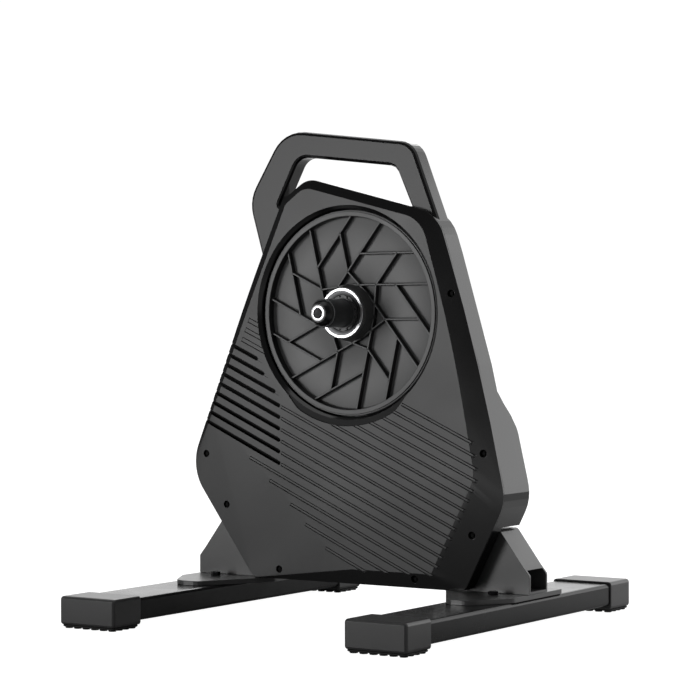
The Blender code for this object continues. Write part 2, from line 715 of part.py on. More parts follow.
def make_front_cover():
    """A shallow tray: flat face, sloped band, disc opening, grooves and vent slots."""
    edge_y = FACE_Y + BAND_DEPTH
    back_y = COVER_BACK_Y
    edge = rounded(HOUSING_EDGE)
    cover = hull("cover", at_depth(rounded(FACE_EDGE), FACE_Y), at_depth(edge, edge_y),
                 at_depth(edge, back_y))
    inner_edge = rounded(HOUSING_EDGE, -COVER_WALL)
    hollow = hull("hollow", at_depth(rounded(FACE_EDGE, -COVER_WALL), FACE_Y + COVER_WALL),
                  at_depth(inner_edge, edge_y + COVER_RETURN), at_depth(inner_edge, back_y + OVERCUT))
    cut(hollow, slot_bed())
    cut(cover, hollow)
    opening = turned("opening", (
        (0.0, FACE_Y - OVERCUT),
        (DISC_OPENING_RADIUS, FACE_Y - OVERCUT),
        (DISC_OPENING_RADIUS, FACE_Y),
        (DISC_OPENING_THROAT, FACE_Y + DISC_OPENING_CHAMFER),
        (DISC_OPENING_THROAT, FACE_Y + 2.0 * OVERCUT),
        (0.0, FACE_Y + 2.0 * OVERCUT),
    ), centre=(0.0, HUB_Z), steps=RIM_SIDES)
    crescent = cylinder("crescent", CRESCENT_RADIUS, (0.0, FACE_Y - 2.0 * OVERCUT, HUB_Z),
                        (0.0, FACE_Y, HUB_Z), sides=RIM_SIDES)
    tilt = math.atan2(CRESCENT_DEPTH, CRESCENT_TOP_Z - (HUB_Z - CRESCENT_RADIUS))
    crescent.data.transform(Matrix.Translation((0.0, FACE_Y, CRESCENT_TOP_Z))
                            @ Matrix.Rotation(tilt, 4, "X")
                            @ Matrix.Translation((0.0, -FACE_Y, -CRESCENT_TOP_Z)))
    above = box("above", (-CUT_REACH, FACE_Y - 5.0 * OVERCUT, CRESCENT_TOP_Z),
                (CUT_REACH, FACE_Y + 5.0 * OVERCUT, HUB_Z + CUT_REACH))
    cut(crescent, above)
    cut(cover, opening, crescent, *groove_tools())
    bosses = [cylinder("boss", SCREW_BOSS_RADIUS, (x, edge_y, z), (x, back_y, z), sides=SCREW_SIDES)
              for x, z in COVER_SCREWS]
    join(cover, merge_bodies("cover_bosses", bosses))
    recesses = [cylinder("recess", SCREW_HEAD_RADIUS + GAP, (x, FACE_Y - OVERCUT, z),
                         (x, SCREW_SEAT_Y, z), sides=SCREW_SIDES) for x, z in COVER_SCREWS]
    cut(cover, merge_bodies("recesses", recesses))
    holes = [cylinder("hole", SCREW_SHANK_RADIUS + GAP, (x, FACE_Y - OVERCUT, z),
                      (x, FACE_Y + 2.0 * OVERCUT, z), sides=SCREW_SIDES) for x, z in COVER_SCREWS]
    cut(cover, merge_bodies("holes", holes))
    return finish(cover, "front_cover", "cover_plastic")


def bevelled_slab(name, corners, y_front, y_back, front_bevel, back_bevel):
    """A slab whose front and back edges are broken by bevels."""
    rings = []
    if front_bevel > 0.0:
        rings.append(at_depth(rounded(corners, -front_bevel), y_front))
        rings.append(at_depth(rounded(corners, -front_bevel * 0.3), y_front + front_bevel * 0.3))
        rings.append(at_depth(rounded(corners), y_front + front_bevel))
    else:
        rings.append(at_depth(rounded(corners), y_front))
    if back_bevel > 0.0:
        rings.append(at_depth(rounded(corners), y_back - back_bevel))
        rings.append(at_depth(rounded(corners, -back_bevel * 0.3), y_back - back_bevel * 0.3))
        rings.append(at_depth(rounded(corners, -back_bevel), y_back))
    else:
        rings.append(at_depth(rounded(corners), y_back))
    return loft(name, rings)


def shoulder_block(name, inset):
    """The bulge's side profile in YZ, swept along the width."""
    front_y = SHELL_FRONT_Y
    profile = [(front_y, 0.0), (BULGE_REAR_Y - inset, 0.0)]
    profile += [(y - inset, z - inset) for z, y in reversed(SHOULDER)]
    profile += [(front_y, SHOULDER[0][0] - inset)]
    rings = [[(x, y, z) for y, z in profile] for x in (-CUT_REACH, CUT_REACH)]
    return loft(name, rings)


def handle_solid():
    """The carrying handle: an arch with a rounded finger hole."""
    arch = bevelled_slab("arch", HANDLE_EDGE, HANDLE_FRONT_Y, HANDLE_REAR_Y, HANDLE_BEVEL, HANDLE_BEVEL)
    hole = loft("hole", (
        at_depth(rounded(HANDLE_HOLE, HANDLE_BEVEL * 1.8), HANDLE_FRONT_Y - HANDLE_BEVEL * 0.8),
        at_depth(rounded(HANDLE_HOLE, HANDLE_BEVEL * 0.4), HANDLE_FRONT_Y + HANDLE_BEVEL * 0.4),
        at_depth(rounded(HANDLE_HOLE), HANDLE_FRONT_Y + HANDLE_BEVEL),
        at_depth(rounded(HANDLE_HOLE), HANDLE_REAR_Y - HANDLE_BEVEL),
        at_depth(rounded(HANDLE_HOLE, HANDLE_BEVEL * 0.4), HANDLE_REAR_Y - HANDLE_BEVEL * 0.4),
        at_depth(rounded(HANDLE_HOLE, HANDLE_BEVEL * 1.8), HANDLE_REAR_Y + HANDLE_BEVEL * 0.8),
    ))
    return cut(arch, hole)


def corner_blocks(name, grow):
    """The two lower corner notches that the brackets stand in."""
    blocks = []
    for side in (-1.0, 1.0):
        x_in = side * (NOTCH_INNER_X - grow)
        x_out = side * CUT_REACH
        low = (min(x_in, x_out), NOTCH_FRONT_Y - grow, 0.0)
        high = (max(x_in, x_out), BULGE_REAR_Y + OVERCUT, NOTCH_TOP_Z + grow)
        blocks.append(box("block", low, high))
    return merge_bodies(name, blocks)


def make_rear_housing():
    """The deep shell with its handle, flywheel bulge, bracket notches and screw bosses."""
    body = bevelled_slab("body", HOUSING_EDGE, SHELL_FRONT_Y, SHELL_REAR_Y, 0.0, SHELL_EDGE_BEVEL)
    bulge = bevelled_slab("bulge", HOUSING_EDGE, BULGE_ROOT_Y, BULGE_REAR_Y, 0.0, SHELL_EDGE_BEVEL)
    boolean(bulge, shoulder_block("shoulder", 0.0), "INTERSECT")
    boss = cylinder("hub_boss", HUB_BOSS_RADIUS, (0.0, BULGE_ROOT_Y, HUB_Z),
                    (0.0, HUB_BOSS_REAR_Y, HUB_Z), sides=WHEEL_SIDES,
                    top_radius=HUB_BOSS_END_RADIUS)
    outside = join(body, handle_solid(), boss, bulge)
    inside = slab("inside", HOUSING_EDGE, SHELL_FRONT_Y - OVERCUT, SHELL_REAR_Y - SHELL_WALL, -SHELL_WALL)
    pocket = slab("pocket", HOUSING_EDGE, BULGE_ROOT_Y, BULGE_REAR_Y - SHELL_WALL, -SHELL_WALL)
    boolean(pocket, shoulder_block("shoulder_inside", SHELL_WALL), "INTERSECT")
    join(inside, pocket)
    cut(inside, corner_blocks("notch_walls", SHELL_WALL))
    bosses = [cylinder("boss", SCREW_BOSS_RADIUS, (x, SHELL_FRONT_Y - 2.0 * OVERCUT, z),
                       (x, BULGE_REAR_Y + OVERCUT, z), sides=SCREW_SIDES) for x, z in COVER_SCREWS]
    cut(inside, merge_bodies("bosses", bosses))
    boss_room = cylinder("boss_room", HUB_BOSS_END_RADIUS - SHELL_WALL, (0.0, 0.0, HUB_Z),
                         (0.0, HUB_BOSS_REAR_Y - SHELL_WALL, HUB_Z), sides=WHEEL_SIDES)
    join(inside, boss_room)
    cut(outside, corner_blocks("notches", 0.0), inside)
    pilots = [cylinder("pilot", SCREW_SHANK_RADIUS + GAP, (x, SHELL_FRONT_Y - OVERCUT, z),
                       (x, SCREW_SEAT_Y + SCREW_LENGTH + RUNNING_GAP, z), sides=SCREW_SIDES)
              for x, z in COVER_SCREWS]
    slits = []
    for side in (-1.0, 1.0):
        x_low, x_high = sorted((side * (NOTCH_INNER_X - OVERCUT), side * (NOTCH_INNER_X + OVERCUT)))
        slits.append(box("slit", (x_low, PLATE_FRONT_Y - GAP, EAR_BOTTOM_Z - GAP),
                         (x_high, PLATE_REAR_Y + GAP, EAR_TOP_Z + GAP)))
    axle_hole = cylinder("axle_hole", AXLE_RADIUS + GAP, (0.0, SHELL_REAR_Y, HUB_Z),
                         (0.0, HUB_BOSS_REAR_Y + OVERCUT, HUB_Z), sides=RING_SIDES)
    inlet_hole = cylinder("inlet_hole", INLET_RADIUS + GAP, (INLET_X, BULGE_REAR_Y - OVERCUT, INLET_Z),
                          (INLET_X, BULGE_REAR_Y + OVERCUT, INLET_Z), sides=RING_SIDES)
    cut(outside, merge_bodies("pilots", pilots), merge_bodies("slits", slits), axle_hole, inlet_hole)
    return finish(outside, "rear_housing", "shell_plastic")


def rib_bar(start, end):
    """A straight rib on the pulley's web between two points in the XZ plane."""
    along = (Vector(end) - Vector(start)).normalized()
    across = Vector((-along.y, along.x)) * (SPOKE_WIDTH / 2.0)
    outline = [Vector(start) - across, Vector(end) - across, Vector(end) + across, Vector(start) + across]
    outline = [(point.x, point.y + HUB_Z) for point in outline]
    return loft("rib", (at_depth(outline, RIB_TOP_Y), at_depth(outline, WEB_FRONT_Y + RIB_BITE)))


def spoke_ribs():
    """Seven interlocking sets of ribs, each tangent to the hub, one set after another."""
    pitch = math.tau / SPOKE_SETS
    ribs = []
    for index in range(SPOKE_SETS):
        angle = math.radians(SPOKE_START_ANGLE) + pitch * index

        def place(turn, along, offset, angle=angle):
            direction = Vector((math.cos(angle + turn), math.sin(angle + turn)))
            normal = Vector((-direction.y, direction.x))
            return direction * along + normal * offset

        rim = RIM_INNER_RADIUS + RIB_BITE
        main_start = -math.sqrt(rim ** 2 - SPOKE_OFFSET ** 2)
        side_start = -math.sqrt(rim ** 2 - SIDE_RIB_OFFSET ** 2)
        side_end = (SPOKE_OFFSET - SIDE_RIB_OFFSET * math.cos(pitch)) / math.sin(pitch)
        cross_shift = CROSS_RIB_OFFSET * math.cos(pitch)
        cross_start = -(SIDE_RIB_OFFSET + cross_shift) / math.sin(pitch)
        cross_end = -(SPOKE_OFFSET + cross_shift) / math.sin(pitch)
        corner = place(pitch, cross_end, CROSS_RIB_OFFSET)
        swing = math.acos(HUB_CONE_RADIUS / corner.length)
        heading = math.atan2(corner.y, corner.x) - swing
        tangent = Vector((math.cos(heading), math.sin(heading))) * (HUB_CONE_RADIUS - RIB_BITE * 0.5)
        ribs.append(rib_bar(place(0.0, main_start, -SPOKE_OFFSET), place(0.0, 0.0, -SPOKE_OFFSET)))
        ribs.append(rib_bar(place(0.0, side_start, -SIDE_RIB_OFFSET),
                            place(0.0, side_end, -SIDE_RIB_OFFSET)))
        ribs.append(rib_bar(place(pitch, cross_start, CROSS_RIB_OFFSET), corner))
        ribs.append(rib_bar(corner, tangent))
    return ribs


def make_drive_pulley():
    """The large pulley: a ribbed web between a turned hub and a flanged belt rim."""
    bore = BEARING_RADIUS + GAP
    cone_slope = (HUB_CONE_RADIUS - LOCK_RING_RADIUS) / (RIB_TOP_Y - LOCK_RING_FRONT_Y)
    cone_front = LOCK_RING_RADIUS + cone_slope * (HUB_FRONT_Y - LOCK_RING_FRONT_Y)
    hub_ring("pulley_hub", "black_aluminium", (
        (bore, HUB_FRONT_Y),
        (cone_front, HUB_FRONT_Y),
        (HUB_CONE_RADIUS, RIB_TOP_Y),
        (HUB_CONE_RADIUS, WEB_BACK_Y),
        (bore + HUB_WALL, RIM_BACK_Y),
        (bore, RIM_BACK_Y),
    ), WHEEL_SIDES)
    hub_ring("pulley_rim", "black_aluminium", (
        (RIM_INNER_RADIUS, RIM_FRONT_Y),
        (RIM_LIP_RADIUS, RIM_FRONT_Y),
        (RIM_LIP_RADIUS, RIM_FRONT_Y + LIP_STEP),
        (FLANGE_RADIUS, RIM_FRONT_Y + LIP_STEP),
        (FLANGE_RADIUS, SEAT_FRONT_Y),
        (BELT_SEAT_RADIUS, SEAT_FRONT_Y),
        (BELT_SEAT_RADIUS, SEAT_BACK_Y),
        (FLANGE_RADIUS, SEAT_BACK_Y),
        (FLANGE_RADIUS, RIM_BACK_Y),
        (RIM_INNER_RADIUS, RIM_BACK_Y),
    ), RIM_SIDES)
    room = WEB_BACK_Y + OVERCUT
    web = turned("web", ring_profile(HUB_CONE_RADIUS - OVERCUT, RIM_INNER_RADIUS + OVERCUT,
                                     WEB_FRONT_Y, WEB_BACK_Y), (0.0, HUB_Z), steps=RIM_SIDES)
    join(web, *spoke_ribs())
    outside = turned("outside", ring_profile(RIM_INNER_RADIUS - GAP, CUT_REACH, RIB_TOP_Y - OVERCUT, room),
                     (0.0, HUB_Z), steps=RIM_SIDES)
    inside = cylinder("inside", HUB_CONE_RADIUS + GAP, (0.0, RIB_TOP_Y - OVERCUT, HUB_Z), (0.0, room, HUB_Z),
                      sides=WHEEL_SIDES)
    cut(web, outside, inside)
    return finish(web, "drive_pulley", "black_aluminium", (0.0, 0.0, HUB_Z))


def hub_ring(name, finish_name, profile, steps=RING_SIDES):
    """A turned piece on the hub axis."""
    return finish(turned(name, profile, (0.0, HUB_Z), steps), name, finish_name, (0.0, 0.0, HUB_Z))


def make_hub():
    """Axle, end caps, bearings, freehub and the lock ring in front of the pulley."""
    hub_ring("lock_ring", "polished_steel", ring_profile(
        LOCK_RING_INNER_RADIUS, LOCK_RING_RADIUS, LOCK_RING_FRONT_Y, HUB_FRONT_Y - GAP,
        LOCK_RING_CHAMFER), WHEEL_SIDES)
    seal_front = LOCK_RING_FRONT_Y + SEAL_INSET
    hub_ring("hub_seal", "dark_steel", (
        (COLLAR_RADIUS + RUNNING_GAP, seal_front + SEAL_DISH),
        (LOCK_RING_INNER_RADIUS - GAP, seal_front),
        (LOCK_RING_INNER_RADIUS - GAP, HUB_FRONT_Y - GAP),
        (COLLAR_RADIUS + RUNNING_GAP, HUB_FRONT_Y - GAP)))
    freehub = turned("freehub", (
        (FREEHUB_BORE_RADIUS, FREEHUB_FRONT_Y + FREEHUB_LIP),
        (FREEHUB_BORE_RADIUS + FREEHUB_LIP, FREEHUB_FRONT_Y),
        (FREEHUB_RADIUS - FREEHUB_LIP, FREEHUB_FRONT_Y),
        (FREEHUB_RADIUS, FREEHUB_FRONT_Y + FREEHUB_LIP),
        (FREEHUB_RADIUS, FREEHUB_BACK_Y),
        (COLLAR_RADIUS, FREEHUB_BACK_Y),
        (COLLAR_RADIUS, HUB_FRONT_Y - RUNNING_GAP),
        (FREEHUB_BORE_RADIUS, HUB_FRONT_Y - RUNNING_GAP),
    ), (0.0, HUB_Z), steps=WHEEL_SIDES)
    notches = []
    half_width = COLLAR_NOTCH_WIDTH / 2.0
    for index in range(COLLAR_NOTCHES):
        angle = math.tau * index / COLLAR_NOTCHES
        notch = box("notch", (FREEHUB_RADIUS + FREEHUB_LIP, FREEHUB_BACK_Y - OVERCUT, -half_width),
                    (COLLAR_RADIUS + OVERCUT, FREEHUB_BACK_Y + COLLAR_NOTCH_DEPTH, half_width))
        turn = Matrix.Translation((0.0, 0.0, HUB_Z)) @ Matrix.Rotation(angle, 4, "Y")
        notch.data.transform(turn)
        notches.append(notch)
    cut(freehub, merge_bodies("notches", notches))
    finish(freehub, "freehub_body", "black_aluminium", (0.0, 0.0, HUB_Z))
    spigot = AXLE_BORE_RADIUS + SPIGOT_WALL
    hub_ring("drive_end_cap", "polished_steel", (
        (AXLE_BORE_RADIUS, DRIVE_END_Y),
        (END_CAP_RADIUS - END_CAP_CHAMFER, DRIVE_END_Y),
        (END_CAP_RADIUS, DRIVE_END_Y + END_CAP_CHAMFER),
        (END_CAP_RADIUS, FREEHUB_FRONT_Y),
        (spigot, FREEHUB_FRONT_Y),
        (spigot, FREEHUB_FRONT_Y + END_CAP_SPIGOT),
        (AXLE_BORE_RADIUS, FREEHUB_FRONT_Y + END_CAP_SPIGOT)))
    cone_back = FREEHUB_FRONT_Y - RUNNING_GAP
    hub_ring("dust_cap", "black_aluminium", (
        (END_CAP_RADIUS + GAP, DRIVE_END_Y + CONE_STEP),
        (END_CAP_RADIUS + CONE_TIP_WALL, DRIVE_END_Y + CONE_STEP),
        (FREEHUB_RADIUS - FREEHUB_LIP - GAP, cone_back),
        (END_CAP_RADIUS + GAP, cone_back)), WHEEL_SIDES)
    axle_bore = spigot + GAP
    far_cap_front = FAR_END_Y - END_CAP_NOSE
    hub_ring("hub_axle", "machined_steel", ring_profile(
        axle_bore, AXLE_RADIUS, FREEHUB_FRONT_Y + GAP, far_cap_front - GAP))
    hub_ring("far_end_cap", "polished_steel", (
        (AXLE_BORE_RADIUS, far_cap_front - END_CAP_SPIGOT),
        (spigot, far_cap_front - END_CAP_SPIGOT),
        (spigot, far_cap_front),
        (END_CAP_RADIUS, far_cap_front),
        (END_CAP_RADIUS, FAR_END_Y - END_CAP_CHAMFER),
        (END_CAP_RADIUS - END_CAP_CHAMFER, FAR_END_Y),
        (AXLE_BORE_RADIUS, FAR_END_Y)))
    hub_ring("axle_spacer", "black_aluminium", (
        (AXLE_RADIUS + GAP, HUB_BOSS_REAR_Y + GAP),
        (AXLE_RADIUS + SPACER_FLARE, HUB_BOSS_REAR_Y + GAP),
        (AXLE_RADIUS + SPACER_WALL, far_cap_front - GAP),
        (AXLE_RADIUS + GAP, far_cap_front - GAP)))
    hub_ring("axle_flange", "painted_steel", (
        (AXLE_RADIUS + GAP, PLATE_REAR_Y + GAP),
        (AXLE_RADIUS + AXLE_FLANGE_WIDTH, PLATE_REAR_Y + GAP),
        (AXLE_RADIUS + AXLE_FLANGE_WIDTH, PLATE_REAR_Y + AXLE_FLANGE_THICKNESS),
        (AXLE_RADIUS + AXLE_SLEEVE_WALL, PLATE_REAR_Y + AXLE_FLANGE_THICKNESS),
        (AXLE_RADIUS + AXLE_SLEEVE_WALL, HUB_BOSS_REAR_Y - SHELL_WALL - GAP),
        (AXLE_RADIUS + GAP, HUB_BOSS_REAR_Y - SHELL_WALL - GAP)), HIDDEN_SIDES)
    for name, front in (("hub_bearing_front", HUB_FRONT_Y + BEARING_INSET),
                        ("hub_bearing_rear", RIM_BACK_Y - BEARING_WIDTH)):
        hub_ring(name, "machined_steel", ring_profile(
            AXLE_RADIUS + GAP, BEARING_RADIUS, front, front + BEARING_WIDTH), HIDDEN_SIDES)
    hub_ring("freehub_bearing", "machined_steel", ring_profile(
        AXLE_RADIUS + GAP, FREEHUB_BORE_RADIUS - GAP, FREEHUB_FRONT_Y + FREEHUB_BEARING_INSET,
        HUB_FRONT_Y - RUNNING_GAP), HIDDEN_SIDES)


def run_normal():
    """Outward normal of the belt's right run, and the direction up that run."""
    lean = (BELT_SEAT_RADIUS - SMALL_PULLEY_RADIUS) / (HUB_Z - SHAFT_Z)
    rise = math.sqrt(1.0 - lean * lean)
    return Vector((rise, -lean)), Vector((lean, rise))


def idler_centre():
    """Where the idler's stud stands in XZ, outside the belt's right run."""
    normal, along = run_normal()
    reach = SMALL_PULLEY_RADIUS + GAP + BELT_THICKNESS + GAP + IDLER_RADIUS
    return Vector((0.0, SHAFT_Z)) + normal * reach + along * IDLER_DISTANCE


def belt_outline(extra):
    """The loop round both pulleys at a distance outside their seats."""
    normal, _ = run_normal()
    lean = math.asin(-normal.y)
    points = []
    steps = WHEEL_SIDES
    for index in range(steps + 1):
        angle = -lean + (math.pi + 2.0 * lean) * index / steps
        radius = BELT_SEAT_RADIUS + extra
        points.append((radius * math.cos(angle), HUB_Z + radius * math.sin(angle)))
    steps = HIDDEN_SIDES // 2
    for index in range(steps + 1):
        angle = math.pi + lean + (math.pi - 2.0 * lean) * index / steps
        radius = SMALL_PULLEY_RADIUS + extra
        points.append((radius * math.cos(angle), SHAFT_Z + radius * math.sin(angle)))
    return points


def make_belt_drive():
    """The belt, the small pulley and the idler wheel."""
    outer = belt_outline(GAP + BELT_THICKNESS)
    inner = belt_outline(GAP)
    belt = loft("belt", (at_depth(outer, BELT_FRONT_Y), at_depth(outer, BELT_BACK_Y)))
    cut(belt, loft("inner", (at_depth(inner, BELT_FRONT_Y - OVERCUT),
                             at_depth(inner, BELT_BACK_Y + OVERCUT))))
    finish(belt, "drive_belt", "belt_rubber")
    shaft_axis = (0.0, 0.0, SHAFT_Z)
    bore = SHAFT_RADIUS + GAP
    flange = SMALL_PULLEY_RADIUS + SMALL_FLANGE_HEIGHT
    small = turned("small_pulley", (
        (bore, SEAT_FRONT_Y - FLANGE_THICKNESS),
        (flange, SEAT_FRONT_Y - FLANGE_THICKNESS),
        (flange, SEAT_FRONT_Y),
        (SMALL_PULLEY_RADIUS, SEAT_FRONT_Y),
        (SMALL_PULLEY_RADIUS, SEAT_BACK_Y),
        (flange, SEAT_BACK_Y),
        (flange, RIM_BACK_Y),
        (bore, RIM_BACK_Y),
    ), (0.0, SHAFT_Z), steps=RING_SIDES)
    finish(small, "small_pulley", "machined_steel", shaft_axis)
    centre = idler_centre()
    idler = turned("idler", ring_profile(IDLER_PIN_RADIUS + GAP, IDLER_RADIUS, BELT_FRONT_Y, BELT_BACK_Y,
                                         IDLER_CHAMFER), centre, steps=HIDDEN_SIDES)
    finish(idler, "idler_wheel", "machined_steel", (centre.x, 0.0, centre.y))


def make_flywheel():
    """Cup-shaped flywheel on its shaft, with two bearings in a fixed housing."""
    axis = (0.0, 0.0, SHAFT_Z)
    place = (0.0, SHAFT_Z)
    bore = SHAFT_RADIUS + GAP
    flywheel = turned("flywheel", (
        (bore, FLYWHEEL_WEB_Y),
        (FLYWHEEL_INNER_RADIUS, FLYWHEEL_WEB_Y),
        (FLYWHEEL_INNER_RADIUS, FLYWHEEL_FRONT_Y),
        (FLYWHEEL_RADIUS - FLYWHEEL_CHAMFER, FLYWHEEL_FRONT_Y),
        (FLYWHEEL_RADIUS, FLYWHEEL_FRONT_Y + FLYWHEEL_CHAMFER),
        (FLYWHEEL_RADIUS, FLYWHEEL_REAR_Y - FLYWHEEL_CHAMFER),
        (FLYWHEEL_RADIUS - FLYWHEEL_CHAMFER, FLYWHEEL_REAR_Y),
        (bore, FLYWHEEL_REAR_Y),
    ), place, steps=WHEEL_SIDES)
    finish(flywheel, "flywheel", "cast_iron", axis)
    shaft = turned("shaft", (
        (0.0, SEAT_FRONT_Y - FLANGE_THICKNESS),
        (SHAFT_RADIUS, SEAT_FRONT_Y - FLANGE_THICKNESS),
        (SHAFT_RADIUS, SHAFT_REAR_Y),
        (0.0, SHAFT_REAR_Y),
    ), place, steps=HIDDEN_SIDES)
    finish(shaft, "flywheel_shaft", "machined_steel", axis)
    nut = cylinder("nut", SHAFT_RADIUS + SHAFT_NUT_WALL, (0.0, FLYWHEEL_REAR_Y + GAP, SHAFT_Z),
                   (0.0, SHAFT_REAR_Y, SHAFT_Z), sides=6)
    cut(nut, cylinder("nut_bore", bore, (0.0, 0.0, SHAFT_Z), (0.0, CUT_REACH, SHAFT_Z), sides=RING_SIDES))
    finish(nut, "flywheel_nut", "dark_steel", axis)
    housing_rear = FLYWHEEL_WEB_Y - RUNNING_GAP
    housing = turned("housing", (
        (BEARING_RADIUS + GAP, PLATE_REAR_Y + GAP),
        (SHAFT_HOUSING_RADIUS + SHAFT_FLANGE_WIDTH, PLATE_REAR_Y + GAP),
        (SHAFT_HOUSING_RADIUS + SHAFT_FLANGE_WIDTH, PLATE_REAR_Y + SHAFT_FLANGE_THICKNESS),
        (SHAFT_HOUSING_RADIUS, PLATE_REAR_Y + SHAFT_FLANGE_THICKNESS),
        (SHAFT_HOUSING_RADIUS, housing_rear),
        (BEARING_RADIUS + GAP, housing_rear),
    ), place, steps=HIDDEN_SIDES)
    finish(housing, "bearing_housing", "painted_steel")
    bearing = turned("bearing", ring_profile(bore, BEARING_RADIUS, PLATE_FRONT_Y, housing_rear),
                     place, HIDDEN_SIDES)
    finish(bearing, "flywheel_bearing", "machined_steel")


def around_shaft(thing, angle):
    """Turn a piece made at the shaft's right side round the shaft axis."""
    turn = (Matrix.Translation((0.0, 0.0, SHAFT_Z)) @ Matrix.Rotation(angle, 4, "Y")
            @ Matrix.Translation((0.0, 0.0, -SHAFT_Z)))
    thing.data.transform(turn)
    return thing


def make_brake():
    """The steel core with its poles inside the flywheel, and a coil on each pole."""
    middle_y = (PLATE_REAR_Y + FLYWHEEL_WEB_Y) / 2.0
    front = middle_y - BRAKE_THICKNESS / 2.0
    back = middle_y + BRAKE_THICKNESS / 2.0
    half = BRAKE_POLE_WIDTH / 2.0
    core = turned("core", ring_profile(SHAFT_HOUSING_RADIUS + GAP, BRAKE_RING_RADIUS, front, back),
                  (0.0, SHAFT_Z), steps=HIDDEN_SIDES)
    tip = BRAKE_TIP_RADIUS - BRAKE_SHOE_THICKNESS
    for index in range(BRAKE_POLES):
        angle = math.tau * (index + 0.5) / BRAKE_POLES
        pole = box("pole", (BRAKE_RING_RADIUS - COIL_GAP_INSIDE, front, SHAFT_Z - half),
                   (BRAKE_TIP_RADIUS, back, SHAFT_Z + half))
        shoe = box("shoe", (tip, front, SHAFT_Z - BRAKE_POLE_WIDTH),
                   (BRAKE_TIP_RADIUS, back, SHAFT_Z + BRAKE_POLE_WIDTH))
        join(core, around_shaft(join(pole, shoe), angle))
        low = (BRAKE_RING_RADIUS + COIL_GAP_INSIDE, front - COIL_END_WALL, SHAFT_Z - half - COIL_WALL)
        high = (tip - COIL_GAP_OUTSIDE, back + COIL_END_WALL, SHAFT_Z + half + COIL_WALL)
        coil = box("coil", low, high)
        room = box("room", (0.0, front - GAP, SHAFT_Z - half - GAP),
                   (CUT_REACH, back + GAP, SHAFT_Z + half + GAP))
        finish(around_shaft(cut(coil, room), angle), f"brake_coil_{index + 1}", "copper_wire")
    finish(core, "brake_core", "dark_steel")


def make_main_plate():
    """The steel plate inside the housing, with its two ears and the idler's stud."""
    plate = slab("plate", PLATE_EDGE, PLATE_FRONT_Y, PLATE_REAR_Y)
    ears = box("ears", (-EAR_X, PLATE_FRONT_Y, EAR_BOTTOM_Z), (EAR_X, PLATE_REAR_Y, EAR_TOP_Z))
    join(plate, ears)
    holes = [cylinder("hole", AXLE_RADIUS + GAP, (0.0, 0.0, HUB_Z), (0.0, PLATE_REAR_Y + OVERCUT, HUB_Z),
                      sides=RING_SIDES),
             cylinder("hole", BEARING_RADIUS + GAP, (0.0, 0.0, SHAFT_Z),
                      (0.0, PLATE_REAR_Y + OVERCUT, SHAFT_Z), sides=RING_SIDES)]
    for side in (-1.0, 1.0):
        x = side * EAR_BOLT_X
        holes.append(cylinder("hole", BOLT_SHANK_RADIUS + GAP, (x, 0.0, EAR_BOLT_Z),
                              (x, PLATE_REAR_Y + OVERCUT, EAR_BOLT_Z), sides=SCREW_SIDES))
    cut(plate, merge_bodies("plate_holes", holes))
    for x, z in COVER_SCREWS:
        cut(plate, cylinder("boss_room", SCREW_BOSS_RADIUS + RUNNING_GAP, (x, 0.0, z),
                            (x, PLATE_REAR_Y + OVERCUT, z), sides=RING_SIDES))
    shoulder = IDLER_PIN_RADIUS + IDLER_PIN_HEAD
    join(plate, turned("stud", (
        (0.0, BELT_FRONT_Y - IDLER_PIN_HEAD),
        (shoulder, BELT_FRONT_Y - IDLER_PIN_HEAD),
        (shoulder, BELT_FRONT_Y - GAP),
        (IDLER_PIN_RADIUS, BELT_FRONT_Y - GAP),
        (IDLER_PIN_RADIUS, BELT_BACK_Y + GAP),
        (shoulder, BELT_BACK_Y + GAP),
        (shoulder, PLATE_FRONT_Y + PLATE_THICKNESS * 0.5),
        (0.0, PLATE_FRONT_Y + PLATE_THICKNESS * 0.5),
    ), idler_centre(), steps=HIDDEN_SIDES))
    finish(plate, "main_plate", "painted_steel")


def make_electronics():
    """The control board on its standoffs, and the power inlet in the bulge's back wall."""
    x, z = BOARD_CENTRE
    wide, tall = BOARD_SIZE
    board_back = PLATE_FRONT_Y - BOARD_STANDOFF
    board_front = board_back - BOARD_THICKNESS
    board = box("board", (x - wide / 2.0, board_front, z - tall / 2.0),
                (x + wide / 2.0, board_back, z + tall / 2.0))
    for side in (-1.0, 1.0):
        foot_x = x + side * (wide / 2.0 - STANDOFF_INSET)
        for end in (-1.0, 1.0):
            foot_z = z + end * (tall / 2.0 - STANDOFF_INSET)
            join(board, cylinder("standoff", STANDOFF_RADIUS, (foot_x, board_back - BOARD_BITE, foot_z),
                                 (foot_x, PLATE_FRONT_Y - GAP, foot_z), sides=HIDDEN_SIDES))
    for across, up, width, height, rise in BOARD_CHIPS:
        centre_x = x + across
        centre_z = z + up
        join(board, box("chip", (centre_x - width / 2.0, board_front - rise, centre_z - height / 2.0),
                        (centre_x + width / 2.0, board_front + BOARD_BITE, centre_z + height / 2.0)))
    finish(board, "control_board", "board_green")
    back = BULGE_REAR_Y + INLET_RISE
    wall_inside = BULGE_REAR_Y - SHELL_WALL - GAP
    inlet = turned("inlet", (
        (0.0, back - INLET_LENGTH),
        (INLET_RADIUS + INLET_FLANGE_WIDTH, back - INLET_LENGTH),
        (INLET_RADIUS + INLET_FLANGE_WIDTH, wall_inside),
        (INLET_RADIUS, wall_inside),
        (INLET_RADIUS, back),
        (INLET_RADIUS - INLET_WALL, back),
        (INLET_RADIUS - INLET_WALL, back - INLET_SOCKET_DEPTH),
        (INLET_PIN_RADIUS, back - INLET_SOCKET_DEPTH),
        (INLET_PIN_RADIUS, back - INLET_RISE),
        (0.0, back - INLET_RISE),
    ), (INLET_X, INLET_Z), steps=HIDDEN_SIDES)
    finish(inlet, "power_inlet", "dark_steel")


